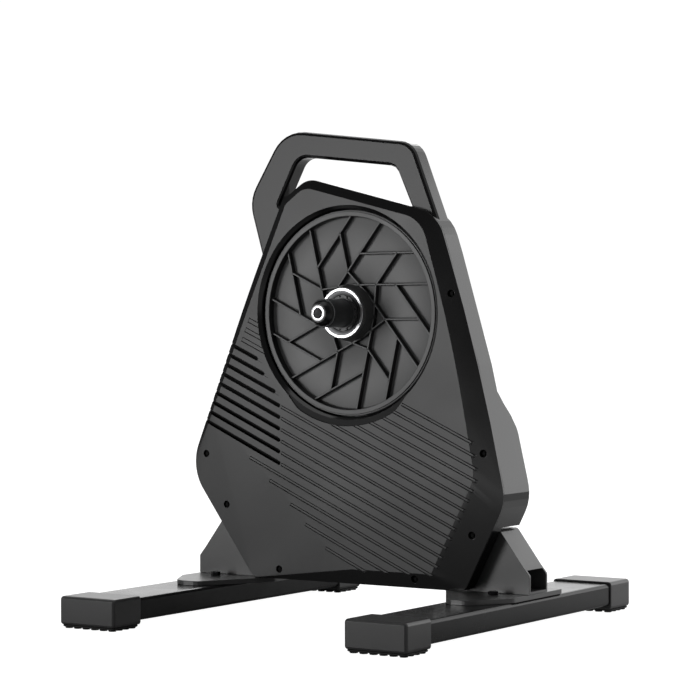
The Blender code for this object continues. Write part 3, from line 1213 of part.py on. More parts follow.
def leg_corners(width, bottom, top, radius):
    half = width / 2.0
    return ((-half, bottom, radius), (half, bottom, radius), (half, top, radius), (-half, top, radius))


def make_leg(side, word):
    """One rectangular tube with a cap and a ribbed pad at each end."""
    half_length = TRAINER_LENGTH / 2.0
    tube_end = half_length - CAP_WALL - GAP
    section = leg_corners(LEG_WIDTH, LEG_BOTTOM_Z, LEG_TOP_Z, LEG_CORNER_RADIUS)
    tube = slab("tube", section, -tube_end, tube_end)
    cut(tube, slab("bore", section, -tube_end - OVERCUT, tube_end + OVERCUT, -LEG_WALL))
    holes = [cylinder("hole", BOLT_SHANK_RADIUS + GAP, (0.0, y, LEG_TOP_Z - OVERCUT),
                      (0.0, y, LEG_TOP_Z + OVERCUT), axis="Z", sides=SCREW_SIDES) for y in BASE_BOLT_DEPTHS]
    cut(tube, merge_bodies("holes", holes))
    tube.location.x = side * LEG_X
    finish(tube, f"leg_tube_{word}", "painted_steel")
    cap_section = leg_corners(CAP_WIDTH, CAP_BOTTOM_Z, CAP_TOP_Z, CAP_CORNER_RADIUS)
    for end, place in ((-1.0, "front"), (1.0, "rear")):
        outer = end * half_length
        inner = end * (half_length - CAP_LENGTH)
        soft = end * CAP_EDGE_RADIUS
        rings = [at_depth(rounded(cap_section, grow), y) for grow, y in (
            (-CAP_EDGE_RADIUS, outer), (-CAP_EDGE_RADIUS * 0.3, outer - soft * 0.3), (0.0, outer - soft),
            (0.0, inner + soft * 0.3), (-CAP_EDGE_RADIUS * 0.3, inner))]
        cap = loft("cap", rings)
        socket_floor = end * (half_length - CAP_WALL)
        low, high = sorted((socket_floor, inner - end * OVERCUT))
        cut(cap, slab("socket", section, low, high, GAP))
        cap.location.x = side * LEG_X
        finish(cap, f"end_cap_{place}_{word}", "cap_rubber")
    for end, place in ((-1.0, "front"), (1.0, "rear")):
        low, high = sorted((end * (half_length - PAD_MARGIN), end * (half_length - CAP_LENGTH + PAD_MARGIN)))
        half = CAP_WIDTH / 2.0 - PAD_MARGIN
        pad = box("pad", (-half, low, PAD_SOLE_Z), (half, high, CAP_BOTTOM_Z - GAP))
        pitch = (high - low) / (PAD_RIBS * 2 - 1)
        for rib in range(PAD_RIBS):
            start = low + pitch * 2 * rib
            join(pad, box("rib", (-half, start, 0.0), (half, start + pitch, PAD_SOLE_Z * 1.5)))
        pad.location.x = side * LEG_X
        finish(pad, f"foot_pad_{place}_{word}", "pad_rubber")


def make_bracket():
    """A folded sheet channel: front plate, sloped roof, back plate and bottom flange."""
    bracket = slab("bracket", BRACKET_EDGE, BRACKET_FRONT_Y, BRACKET_REAR_Y)
    tunnel = slab("tunnel", BRACKET_EDGE, BRACKET_FRONT_Y + BRACKET_SHEET,
                  BRACKET_REAR_Y - BRACKET_SHEET, -BRACKET_SHEET)
    front = BRACKET_FRONT_Y + BRACKET_SHEET
    rear = BRACKET_REAR_Y - BRACKET_SHEET
    floor_z = BRACKET_BOTTOM_Z + BRACKET_SHEET
    outer_mouth = box("mouth", (BRACKET_OUTER_X - 2.0 * OVERCUT, front, floor_z),
                      (BRACKET_OUTER_X + OVERCUT, rear, BRACKET_SHOULDER_Z - BRACKET_LIP))
    inner_mouth = box("mouth", (BRACKET_INNER_X - OVERCUT, front, floor_z),
                      (BRACKET_INNER_X + OVERCUT, rear, BRACKET_ROOF_Z - BRACKET_SHEET))
    cut(bracket, join(tunnel, outer_mouth, inner_mouth))
    return cut(bracket, cylinder("hole", BOLT_SHANK_RADIUS + GAP, (EAR_BOLT_X, 0.0, EAR_BOLT_Z),
                                 (EAR_BOLT_X, BRACKET_FRONT_Y + OVERCUT, EAR_BOLT_Z), sides=SCREW_SIDES))


def make_base_plate():
    """The flat plate that ties one leg to its bracket."""
    base = sheet("base", BASE_EDGE, BASE_BOTTOM_Z, BASE_TOP_Z)
    holes = [cylinder("hole", BOLT_SHANK_RADIUS + GAP, (LEG_X, y, LEG_TOP_Z - OVERCUT),
                      (LEG_X, y, BASE_TOP_Z + OVERCUT), axis="Z", sides=SCREW_SIDES)
             for y in BASE_BOLT_DEPTHS]
    return cut(base, merge_bodies("holes", holes))


def hex_bolt(head_low, head_high, shank_end, axis):
    """A bolt whose head spans two points, with a round shank beyond the first."""
    head = cylinder("head", BOLT_HEAD_RADIUS, head_low, head_high, axis=axis, sides=6)
    shank = cylinder("shank", BOLT_SHANK_RADIUS, shank_end, head_low, axis=axis, sides=SCREW_SIDES)
    return join(head, shank)


def make_bolts():
    """Bolts that hold the base plates to the legs and the brackets to the main plate."""
    for side, word in ((-1.0, "left"), (1.0, "right")):
        x = side * LEG_X
        for y, place in zip(BASE_BOLT_DEPTHS, ("front", "rear")):
            bolt = hex_bolt((x, y, BASE_TOP_Z + GAP), (x, y, BASE_TOP_Z + GAP + BOLT_HEAD_HEIGHT),
                            (x, y, LEG_TOP_Z - LEG_WALL - BOLT_POINT), "Z")
            finish(bolt, f"base_bolt_{place}_{word}", "dark_steel")
        x = side * EAR_BOLT_X
        bolt = hex_bolt((x, PLATE_REAR_Y + GAP, EAR_BOLT_Z),
                        (x, PLATE_REAR_Y + GAP + BOLT_HEAD_HEIGHT, EAR_BOLT_Z),
                        (x, BRACKET_FRONT_Y, EAR_BOLT_Z), "Y")
        finish(bolt, f"bracket_bolt_{word}", "dark_steel")


def make_cover_screws():
    """Small round-headed screws, sunk in the cover's recesses."""
    for index, (x, z) in enumerate(COVER_SCREWS):
        head = cylinder("head", SCREW_HEAD_RADIUS, (x, SCREW_SEAT_Y - GAP - SCREW_HEAD_HEIGHT, z),
                        (x, SCREW_SEAT_Y - GAP, z), sides=SCREW_SIDES)
        shank = cylinder("shank", SCREW_SHANK_RADIUS, (x, SCREW_SEAT_Y - GAP - SCREW_HEAD_HEIGHT / 2.0, z),
                         (x, SCREW_SEAT_Y + SCREW_LENGTH, z), sides=SCREW_SIDES)
        finish(join(head, shank), f"cover_screw_{index + 1}", "dark_steel")


def build_trainer():
    make_front_cover()
    make_rear_housing()
    make_drive_pulley()
    make_hub()
    make_belt_drive()
    make_flywheel()
    make_brake()
    make_main_plate()
    make_electronics()
    make_leg(-1.0, "left")
    make_leg(1.0, "right")
    bracket = make_bracket()
    finish(mirrored(bracket, "bracket_copy"), "bracket_left", "painted_steel")
    finish(bracket, "bracket_right", "painted_steel")
    base = make_base_plate()
    finish(mirrored(base, "base_copy"), "base_plate_left", "painted_steel")
    finish(base, "base_plate_right", "painted_steel")
    make_bolts()
    make_cover_screws()


clear_scene()
PARTS = collection("bike_trainer")
CUTTERS = collection("cutters")
build_trainer()
bpy.context.scene.collection.children.unlink(CUTTERS)
bpy.data.collections.remove(CUTTERS)
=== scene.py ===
import json
import math

import bmesh
import bpy
from mathutils import Matrix, Vector


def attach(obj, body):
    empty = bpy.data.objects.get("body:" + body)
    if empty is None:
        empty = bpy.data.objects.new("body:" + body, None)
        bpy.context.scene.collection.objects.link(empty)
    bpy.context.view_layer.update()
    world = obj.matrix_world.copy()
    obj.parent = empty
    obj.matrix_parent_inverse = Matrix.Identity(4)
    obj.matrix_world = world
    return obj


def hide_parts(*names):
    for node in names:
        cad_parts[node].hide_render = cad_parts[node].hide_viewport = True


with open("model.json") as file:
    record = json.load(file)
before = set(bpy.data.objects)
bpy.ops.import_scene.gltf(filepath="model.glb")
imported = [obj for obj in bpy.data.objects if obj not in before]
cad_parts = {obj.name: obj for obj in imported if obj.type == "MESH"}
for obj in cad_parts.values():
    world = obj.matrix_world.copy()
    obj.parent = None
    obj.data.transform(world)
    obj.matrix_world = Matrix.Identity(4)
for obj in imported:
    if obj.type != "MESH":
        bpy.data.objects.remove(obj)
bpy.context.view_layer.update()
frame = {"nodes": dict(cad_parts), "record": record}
nodes = frame["nodes"]

# Heights of the two turning centres, in metres above the floor
HUB_Z = 0.3725
WHEEL_Z = 0.1475


# Surfaces
class Surface:
    """A node material that is built up step by step."""

    def __init__(self, name, colour, roughness, metallic=0.0):
        self.material = bpy.data.materials.new(name)
        self.material.use_nodes = True
        self.tree = self.material.node_tree
        self.shader = self.tree.nodes["Principled BSDF"]
        self.shader.inputs["Base Color"].default_value = (*colour, 1.0)
        self.shader.inputs["Roughness"].default_value = roughness
        self.shader.inputs["Metallic"].default_value = metallic
        self.place = self.tree.nodes.new("ShaderNodeTexCoord").outputs["Object"]
        self.height = None

    def add(self, kind, **settings):
        node = self.tree.nodes.new(kind)
        for key, value in settings.items():
            setattr(node, key, value)
        return node

    def link(self, source, target):
        self.tree.links.new(source, target)

    def mapped(self, offset=(0, 0, 0), stretch=(1, 1, 1)):
        """Object coordinates moved and stretched."""
        mapping = self.add("ShaderNodeMapping")
        mapping.inputs["Location"].default_value = offset
        mapping.inputs["Scale"].default_value = stretch
        self.link(self.place, mapping.inputs["Vector"])
        return mapping.outputs["Vector"]

    def noise(self, scale, detail=2.0, roughness=0.5, place=None):
        node = self.add("ShaderNodeTexNoise")
        node.inputs["Scale"].default_value = scale
        node.inputs["Detail"].default_value = detail
        node.inputs["Roughness"].default_value = roughness
        self.link(place or self.place, node.inputs["Vector"])
        return node.outputs["Fac"]

    def rings(self, scale, centre_z, distortion=0.0):
        """Turning marks round an axis along Y at a height."""
        wave = self.add("ShaderNodeTexWave", wave_type="RINGS", rings_direction="Y")
        wave.inputs["Scale"].default_value = scale
        wave.inputs["Distortion"].default_value = distortion
        wave.inputs["Detail"].default_value = 1.0
        self.link(self.mapped(offset=(0, 0, -centre_z)), wave.inputs["Vector"])
        return wave.outputs["Fac"]

    def spread(self, value, low, high):
        """A texture value moved to a range."""
        node = self.add("ShaderNodeMapRange")
        node.inputs["From Min"].default_value = 0.25
        node.inputs["From Max"].default_value = 0.75
        node.inputs["To Min"].default_value = low
        node.inputs["To Max"].default_value = high
        self.link(value, node.inputs["Value"])
        return node.outputs["Result"]

    def vary_roughness(self, value, low, high):
        self.link(self.spread(value, low, high), self.shader.inputs["Roughness"])
        return self

    def vary_colour(self, value, dark, light):
        ramp = self.add("ShaderNodeValToRGB")
        ramp.color_ramp.elements[0].position = 0.3
        ramp.color_ramp.elements[1].position = 0.7
        ramp.color_ramp.elements[0].color = (*dark, 1.0)
        ramp.color_ramp.elements[1].color = (*light, 1.0)
        self.link(value, ramp.inputs["Fac"])
        self.link(ramp.outputs["Color"], self.shader.inputs["Base Color"])
        return self

    def bump(self, value, depth, strength=1.0):
        """Relief of a given depth in metres, on top of any relief set before."""
        node = self.add("ShaderNodeBump")
        node.inputs["Strength"].default_value = strength
        node.inputs["Distance"].default_value = depth
        self.link(value, node.inputs["Height"])
        if self.height is not None:
            self.link(self.height, node.inputs["Normal"])
        self.height = node.outputs["Normal"]
        self.link(self.height, self.shader.inputs["Normal"])
        return self

    def matt_where_flat(self, colour, roughness):
        """A duller, lighter finish on the walls that face along Y, with gloss on the bevels and every other wall.
        """
        normal = self.add("ShaderNodeTexCoord").outputs["Normal"]
        parts = self.add("ShaderNodeSeparateXYZ")
        self.link(normal, parts.inputs["Vector"])
        flat = self.add("ShaderNodeMath", operation="ABSOLUTE")
        self.link(parts.outputs["Y"], flat.inputs[0])
        mask = self.add("ShaderNodeMapRange")
        mask.inputs["From Min"].default_value = 0.975
        mask.inputs["From Max"].default_value = 0.99
        self.link(flat.outputs["Value"], mask.inputs["Value"])
        for name, value in (("Base Color", (*colour, 1.0)), ("Roughness", roughness)):
            socket = self.shader.inputs[name]
            before = socket.links[0].from_socket
            blend = self.add("ShaderNodeMix", data_type="RGBA" if name == "Base Color" else "FLOAT")
            first = next(i for i in blend.inputs if i.enabled and i.name == "A")
            second = next(i for i in blend.inputs if i.enabled and i.name == "B")
            second.default_value = value
            self.link(before, first)
            self.link(mask.outputs["Result"], blend.inputs["Factor"])
            self.link(next(o for o in blend.outputs if o.enabled), socket)
        return self

    def soft_edges(self, radius):
        """Rounds the look of sharp edges, as moulding and paint do."""
        node = self.add("ShaderNodeBevel", samples=4)
        node.inputs["Radius"].default_value = radius
        self.height = node.outputs["Normal"]
        self.link(self.height, self.shader.inputs["Normal"])
        return self


def moulded_plastic(name, colour, roughness, grain=0.000012):
    """Satin black moulding with a fine spark-eroded grain."""
    s = Surface(name, colour, roughness)
    s.soft_edges(0.0005)
    s.vary_roughness(s.noise(9.0, 4.0), roughness - 0.03, roughness + 0.04)
    s.vary_colour(s.noise(14.0, 3.0), [c * 0.93 for c in colour], [c * 1.07 for c in colour])
    s.bump(s.noise(2600.0, 2.0), grain)
    return s


def painted(name, colour, roughness, pebble=0.000014):
    """Powder coat: a fine pebbled skin over flat steel."""
    s = Surface(name, colour, roughness)
    s.soft_edges(0.0006)
    s.vary_roughness(s.noise(22.0, 5.0), roughness - 0.04, roughness + 0.05)
    s.vary_colour(s.noise(30.0, 4.0), [c * 0.9 for c in colour], [c * 1.1 for c in colour])
    s.bump(s.noise(900.0, 3.0, 0.6), pebble)
    s.shader.inputs["Coat Weight"].default_value = 0.20
    s.shader.inputs["Coat Roughness"].default_value = 0.25
    return s


def rubber(name, colour, roughness, grain):
    s = Surface(name, colour, roughness)
    s.soft_edges(0.0005)
    s.vary_colour(s.noise(60.0, 4.0), [c * 0.8 for c in colour], [c * 1.25 for c in colour])
    s.bump(s.noise(1500.0, 3.0), grain)
    return s


def turned_metal(name, colour, roughness, centre_z, depth, marks=2600.0):
    """Metal turned round an axis along Y: fine rings and a slight streak in the gloss."""
    s = Surface(name, colour, roughness, 1.0)
    s.soft_edges(0.0003)
    s.vary_roughness(s.noise(40.0, 4.0), roughness - 0.04, roughness + 0.06)
    s.bump(s.rings(marks, centre_z, 0.4), depth)
    return s


def plain_metal(name, colour, roughness, grain=0.000010, scale=700.0):
    s = Surface(name, colour, roughness, 1.0)
    s.soft_edges(0.0004)
    s.vary_roughness(s.noise(120.0, 4.0), roughness - 0.05, roughness + 0.08)
    s.bump(s.noise(scale, 3.0), grain)
    return s


cover_plastic = moulded_plastic("cover_plastic_look", (0.027, 0.0272, 0.0275), 0.42, 0.000008)
cover_gloss = moulded_plastic("cover_gloss_look", (0.0030, 0.0030, 0.0032), 0.14, 0.000001)
# Painted shade: a dimmer copy of the cover plastic for the crescent below the opening.
crescent_painted_shade = moulded_plastic("crescent_painted_shade_look", (0.0100, 0.0101, 0.0103), 0.55, 0.000006)
crescent_painted_shade.shader.inputs["Specular IOR Level"].default_value = 0.2
# Painted shade: near-black for the screw holes and screws, slot floors, groove lines and the freehub's window
# walls.
painted_shade_black = moulded_plastic("painted_shade_black_look", (0.0010, 0.0010, 0.0010), 0.60, 0.000004)
painted_shade_black.shader.inputs["Specular IOR Level"].default_value = 0.1
shell_plastic = moulded_plastic("shell_plastic_look", (0.0025, 0.0025, 0.0027), 0.15, 0.000001)
shell_plastic.matt_where_flat((0.019, 0.0192, 0.0195), 0.42)
cap_plastic = moulded_plastic("cap_plastic_look", (0.034, 0.034, 0.0345), 0.32, 0.000008)
painted_steel = painted("painted_steel_look", (0.048, 0.0483, 0.0487), 0.34)
painted_tube = painted("painted_tube_look", (0.019, 0.0192, 0.0195), 0.18, 0.000002)
painted_tube.shader.inputs["Coat Weight"].default_value = 0.0
painted_tube.shader.inputs["Specular IOR Level"].default_value = 0.22
pad_rubber = rubber("pad_rubber_look", (0.012, 0.012, 0.012), 0.8, 0.00005)
black_aluminium = turned_metal("black_aluminium_look", (0.036, 0.037, 0.038), 0.38, HUB_Z, 0.0000015)
black_aluminium.shader.inputs["Metallic"].default_value = 0.25
pulley_black = moulded_plastic("pulley_black_look", (0.078, 0.0785, 0.0792), 0.42, 0.000008)
polished_steel = turned_metal("polished_steel_look", (0.60, 0.60, 0.61), 0.30, HUB_Z, 0.000002)
machined_steel = turned_metal("machined_steel_look", (0.50, 0.50, 0.51), 0.30, HUB_Z, 0.000004)
wheel_steel = turned_metal("wheel_steel_look", (0.50, 0.50, 0.51), 0.30, WHEEL_Z, 0.000004)
nose_black = moulded_plastic("nose_black_look", (0.003, 0.003, 0.0032), 0.22, 0.000004)
nose_black.shader.inputs["Specular IOR Level"].default_value = 0.3
bore_grey = plain_metal("bore_grey_look", (0.50, 0.50, 0.51), 0.55)
bore_grey.shader.inputs["Metallic"].default_value = 0.0
# Painted shade: darker copies of the pulley moulding for the hub's cone and for the steep walls, which are
# glossier too.
cone_painted_shade = moulded_plastic("cone_painted_shade_look", (0.044, 0.044, 0.0443), 0.38, 0.000006)
steep_wall_gloss_and_shade = moulded_plastic("steep_wall_gloss_and_shade_look", (0.010, 0.010, 0.0103), 0.30, 0.000004)
seal_grey = plain_metal("seal_grey_look", (0.16, 0.16, 0.165), 0.40)
dark_steel = plain_metal("dark_steel_look", (0.030, 0.030, 0.032), 0.42)
cast_iron = turned_metal("cast_iron_look", (0.20, 0.20, 0.205), 0.42, WHEEL_Z, 0.00001, 1400.0)
belt_rubber = rubber("belt_rubber_look", (0.018, 0.018, 0.018), 0.75, 0.00004)
copper_wire = plain_metal("copper_wire_look", (0.60, 0.25, 0.10), 0.30, 0.00004, 500.0)
board_green = moulded_plastic("board_green_look", (0.010, 0.085, 0.030), 0.30)
inlet_black = moulded_plastic("inlet_black_look", (0.014, 0.014, 0.014), 0.28)

FINISHES = {
    "cover_plastic": cover_plastic,
    "shell_plastic": shell_plastic,
    "cap_plastic": cap_plastic,
    "painted_steel": painted_steel,
    "pad_rubber": pad_rubber,
    "black_aluminium": black_aluminium,
    "polished_steel": polished_steel,
    "machined_steel": machined_steel,
    "dark_steel": dark_steel,
    "cast_iron": cast_iron,
    "belt_rubber": belt_rubber,
    "copper_wire": copper_wire,
    "board": board_green,
    "inlet": inlet_black,
}

for part in frame["record"]["subparts"]:
    thing = nodes[part["node"]]
    surface = FINISHES[part["material_slot"]]
    thing.data.materials.clear()
    thing.data.materials.append(surface.material)
special = [(name, painted_tube) for name in ("leg_tube_left", "leg_tube_right")]
special += [(name, wheel_steel) for name in ("flywheel_shaft", "small_pulley", "flywheel_bearing")]
# The cover screws are painted near-black as painted shade, so they read as dark holes.
special += [(f"cover_screw_{index}", painted_shade_black) for index in range(1, 8)]
for name, surface in special:
    nodes[name].data.materials.clear()
    nodes[name].data.materials.append(surface.material)


# Shapes shared by the finer pieces, in metres
FACE_Y = -0.0156
BAND_DEPTH = 0.0040
COVER_BACK_Y = -0.0096
GROOVE_ANGLE = 24.11
HOUSING_EDGE = (
    (-0.1408, 0.0435, 0.012), (0.1654, 0.0435, 0.014), (0.2203, 0.1513, 0.050),
    (0.1875, 0.3122, 2.300), (0.1280, 0.4906, 0.048), (-0.0575, 0.5375, 0.030),
    (-0.0960, 0.5110, 0.012), (-0.1480, 0.3966, 2.500), (-0.2379, 0.1772, 0.058),
)
FACE_EDGE = (
    (0.0080, 0.0615, 0.003), (0.1206, 0.0615, 0.004), (0.1810, 0.1787, 0.040),
    (0.1508, 0.3388, 1.500), (0.1077, 0.4841, 0.040), (-0.0602, 0.5265, 0.025),
    (-0.0880, 0.5065, 0.010), (-0.1467, 0.3757, 2.500), (-0.2020, 0.2455, 0.004),
)
COVER_SCREWS = (
    (0.1920, 0.2075), (0.1760, 0.1105), (0.0970, 0.0545), (-0.1010, 0.0555),
    (-0.1810, 0.1325), (-0.2120, 0.1955), (0.1480, 0.3955),
)


def to_object(name, bm):
    bmesh.ops.recalc_face_normals(bm, faces=bm.faces)
    mesh = bpy.data.meshes.new(name)
    bm.to_mesh(mesh)
    bm.free()
    thing = bpy.data.objects.new(name, mesh)
    bpy.context.scene.collection.objects.link(thing)
    return thing


def offset_corners(corners, distance):
    """Move every side of a polygon outward and fit the corner radii."""
    count = len(corners)
    moved = []
    for index, (x, z, radius) in enumerate(corners):
        here = Vector((x, z))
        side_in = (here - Vector(corners[index - 1][:2])).normalized()
        side_out = (Vector(corners[(index + 1) % count][:2]) - here).normalized()
        normal_in = Vector((side_in.y, -side_in.x))
        normal_out = Vector((side_out.y, -side_out.x))
        turn = side_in.x * side_out.y - side_in.y * side_out.x
        shift = (normal_in + normal_out) * (distance / (1.0 + normal_in.dot(normal_out)))
        grown = radius + distance if turn > 0.0 else radius - distance
        moved.append((x + shift.x, z + shift.y, max(grown, 0.0003) if radius > 0.0 else 0.0))
    return moved


def rounded(corners, distance=0.0, fine=3.0, coarse=10.0):
    """An outline's points, with a fine arc at every corner that has a radius."""
    sized = offset_corners(corners, distance) if distance else corners
    count = len(sized)
    points = []
    for index, (x, z, radius) in enumerate(sized):
        if radius <= 0.0:
            points.append((x, z))
            continue
        here = Vector((x, z))
        side_in = (here - Vector(sized[index - 1][:2])).normalized()
        side_out = (Vector(sized[(index + 1) % count][:2]) - here).normalized()
        turn = math.atan2(side_in.x * side_out.y - side_in.y * side_out.x, side_in.dot(side_out))
        start = here - side_in * (radius * math.tan(abs(turn) / 2.0))
        centre = start + Vector((-side_in.y, side_in.x)) * (math.copysign(1.0, turn) * radius)
        step = fine if corners[index][2] >= 0.02 else coarse
        pieces = max(4, math.ceil(math.degrees(abs(turn)) / step - 0.01))
        spoke = start - centre
        for piece in range(pieces + 1):
            c, d = math.cos(turn * piece / pieces), math.sin(turn * piece / pieces)
            points.append((centre.x + spoke.x * c - spoke.y * d, centre.y + spoke.x * d + spoke.y * c))
    return points


def at_depth(outline, y):
    return [(x, y, z) for x, z in outline]


def loft(name, rings):
    """Skin rings of equal point counts and cap both ends."""
    bm = bmesh.new()
    rows = [[bm.verts.new(point) for point in ring] for ring in rings]
    count = len(rows[0])
    for lower, upper in zip(rows, rows[1:]):
        for index in range(count):
            after = (index + 1) % count
            bm.faces.new((lower[index], lower[after], upper[after], upper[index]))
    bm.faces.new(rows[0])
    bm.faces.new(rows[-1])
    return to_object(name, bm)


def hull(name, *rings):
    bm = bmesh.new()
    for ring in rings:
        for point in ring:
            bm.verts.new(point)
    bmesh.ops.convex_hull(bm, input=bm.verts)
    loose = [vert for vert in bm.verts if not vert.link_faces]
    bmesh.ops.delete(bm, geom=loose, context="VERTS")
    return to_object(name, bm)


def turned(name, profile, centre=(0.0, 0.0), steps=128):
    """Spin a closed profile of radius and y round a Y axis."""
    bm = bmesh.new()
    verts = [bm.verts.new((radius, y, 0.0)) for radius, y in profile]
    edges = [bm.edges.new((verts[index - 1], verts[index])) for index in range(len(verts))]
    bmesh.ops.spin(bm, geom=verts + edges, cent=(0.0, 0.0, 0.0), axis=(0.0, 1.0, 0.0),
                   dvec=(0.0, 0.0, 0.0), angle=math.tau, steps=steps, use_duplicate=False)
    bmesh.ops.remove_doubles(bm, verts=bm.verts, dist=0.000001)
    flat = [edge for edge in bm.edges if not edge.link_faces]
    bmesh.ops.delete(bm, geom=flat, context="EDGES")
    bmesh.ops.translate(bm, verts=bm.verts, vec=(centre[0], 0.0, centre[1]))
    return to_object(name, bm)


def merged(name, things):
    """One object with the bodies of several."""
    bm = bmesh.new()
    for thing in things:
        bm.from_mesh(thing.data)
        bpy.data.objects.remove(thing)
    return to_object(name, bm)


def boolean(target, tool, operation="DIFFERENCE"):
    modifier = target.modifiers.new("boolean", "BOOLEAN")
    modifier.object = tool
    modifier.operation = operation
    modifier.solver = "EXACT"
    apply_modifiers(target)
    bpy.data.objects.remove(tool)
    return target


def apply_modifiers(thing):
    depsgraph = bpy.context.evaluated_depsgraph_get()
    mesh = bpy.data.meshes.new_from_object(thing.evaluated_get(depsgraph))
    thing.modifiers.clear()
    thing.data = mesh


def dress(thing, surface, body, *replaced, angle=30.0, slot=None):
    """Smooth shading, a material, the body it moves with and the nodes it stands for."""
    thing.data.shade_smooth()
    thing.data.set_sharp_from_angle(angle=math.radians(angle))
    if surface is not None:
        thing.data.materials.clear()
        thing.data.materials.append(surface.material)
    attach(thing, body)
    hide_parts(*replaced)
    return thing


def slant(x, z_cross):
    return z_cross - math.tan(math.radians(GROOVE_ANGLE)) * x


def crossing(outline, z_cross, side):
    """Where a slanted line leaves an outline on the right (1) or left (-1)."""
    found = []
    for (x_a, z_a), (x_b, z_b) in zip(outline, outline[1:] + outline[:1]):
        over_a = z_a - slant(x_a, z_cross)
        over_b = z_b - slant(x_b, z_cross)
        if over_a * over_b < 0.0:
            found.append(x_a + (x_b - x_a) * over_a / (over_a - over_b))
    return max(found) if side > 0 else min(found)


def circle_crossing(z_cross, radius, side):
    slope = -math.tan(math.radians(GROOVE_ANGLE))
    offset = z_cross - HUB_Z
    square = 1.0 + slope * slope
    root = (slope * offset) ** 2 - square * (offset * offset - radius * radius)
    return None if root <= 0.0 else (-slope * offset + side * math.sqrt(root)) / square


def bar(x_start, x_end, z_cross, width, y_front, y_back, shift=0.0, foot=None, round_ends=True):
    """A bar along the slanted pattern; foot is its width at the back."""
    angle = math.radians(-GROOVE_ANGLE)
    along = Vector((math.cos(angle), math.sin(angle)))
    across = Vector((-along.y, along.x))
    start = Vector((x_start, slant(x_start, z_cross))) + across * shift
    end = Vector((x_end, slant(x_end, z_cross))) + across * shift
    rings = []
    for wide, y in ((width, y_front), (width if foot is None else foot, y_back)):
        half = across * (wide / 2.0)
        radius = wide * 0.48 if round_ends else 0.0
        corners = [(*(start - half), radius), (*(end - half), radius),
                   (*(end + half), radius), (*(start + half), radius)]
        rings.append(at_depth(rounded(corners, coarse=18.0), y))
    return loft("bar", rings)


# Front cover: matt face with twin-lined grooves, louvre pockets, gloss band
GROOVE_LEFT_ENDS = {12: -0.143, 13: -0.113, 14: -0.082, 15: -0.060, 16: -0.030}


def crescent_outline(inset):
    """The shallow crescent below the disc opening, with horns that taper off at both ends."""
    outer, inner = [], []
    for step in range(-44, 45, 2):
        angle = math.radians(step)
        taper = min(1.0, max(0.0, (abs(step) - 28.0) / 16.0))
        reach = 0.1374 - 0.0066 * taper * taper * (3.0 - 2.0 * taper) - inset
        outer.append((reach * math.sin(angle), HUB_Z - reach * math.cos(angle)))
        inner.append((0.1285 * math.sin(angle), HUB_Z - 0.1285 * math.cos(angle)))
    return outer + inner[::-1]


def cover_piece():
    edge_y = FACE_Y + BAND_DEPTH
    face = rounded(FACE_EDGE, coarse=4.0)
    edge = rounded(HOUSING_EDGE, coarse=4.0)
    cover = hull("cover_shell", at_depth(face, FACE_Y), at_depth(edge, edge_y), at_depth(edge, COVER_BACK_Y))
    opening = turned("opening", (
        (0.0, FACE_Y - 0.01), (0.1311, FACE_Y - 0.01), (0.1311, FACE_Y), (0.1305, FACE_Y + 0.0006),
        (0.1272, FACE_Y + 0.0037), (0.1265, FACE_Y + 0.0046), (0.1265, FACE_Y + 0.02), (0.0, FACE_Y + 0.02),
    ), (0.0, HUB_Z), 180)
    grooves, lines, slots, dips = [], [], [], []
    for index in range(17):
        z_cross = 0.2992 - 0.0142 * index
        x_right = crossing(face, z_cross, 1) + 0.0060
        x_disc = circle_crossing(z_cross, 0.1374, 1)
        x_left = GROOVE_LEFT_ENDS.get(index, -0.0955)
        if x_disc is not None:
            x_left = x_disc - 0.002
        grooves.append(bar(x_left, x_right, z_cross, 0.0033, FACE_Y - 0.01, FACE_Y + 0.00030, round_ends=False))
        for side in (-1.0, 1.0):
            lines.append(bar(x_left, x_right, z_cross, 0.0010, FACE_Y - 0.0001, FACE_Y + 0.0010,
                             shift=side * 0.0016, foot=0.0007, round_ends=False))
        if index < 3:
            x_out = crossing(edge, z_cross, -1) + 0.014
            x_in = circle_crossing(z_cross, 0.1305, -1) + 0.006
            for side in (-1.0, 1.0):
                lines.append(bar(x_out, x_in, z_cross, 0.0009, FACE_Y - 0.0001, FACE_Y + 0.0009,
                                 shift=side * 0.0026, foot=0.0006, round_ends=False))
            dips.append(bar(x_out, x_in, z_cross, 0.0052, FACE_Y - 0.01, FACE_Y + 0.00025))
        if 3 <= index <= 11:
            x_out = crossing(edge, z_cross, -1) - 0.02
            x_near = circle_crossing(z_cross, 0.1429, -1)
            x_in = -0.0970 if x_near is None else min(-0.0970, x_near)
            slots.append(bar(x_out, x_in, z_cross, 0.0051, FACE_Y - 0.0001, FACE_Y + 0.0050, foot=0.0030))
            if index < 6:
                dips.append(bar(x_in - 0.01, x_in + 0.007, z_cross, 0.0033, FACE_Y - 0.01, FACE_Y + 0.0006))
    crescent = loft("crescent", [at_depth(crescent_outline(inset), y) for inset, y in (
        (0.0, FACE_Y - 0.01), (0.0, FACE_Y), (0.0007, FACE_Y + 0.0012))])
    screw_holes = [turned("hole", ((0.0, FACE_Y - 0.01), (0.0046, FACE_Y - 0.01), (0.0046, FACE_Y + 0.0055),
                                   (0.0, FACE_Y + 0.0055)), place, 32) for place in COVER_SCREWS]
    for tools in ([opening], slots, [crescent], grooves, dips, lines, screw_holes):
        boolean(cover, merged("tools", tools))
    return cover


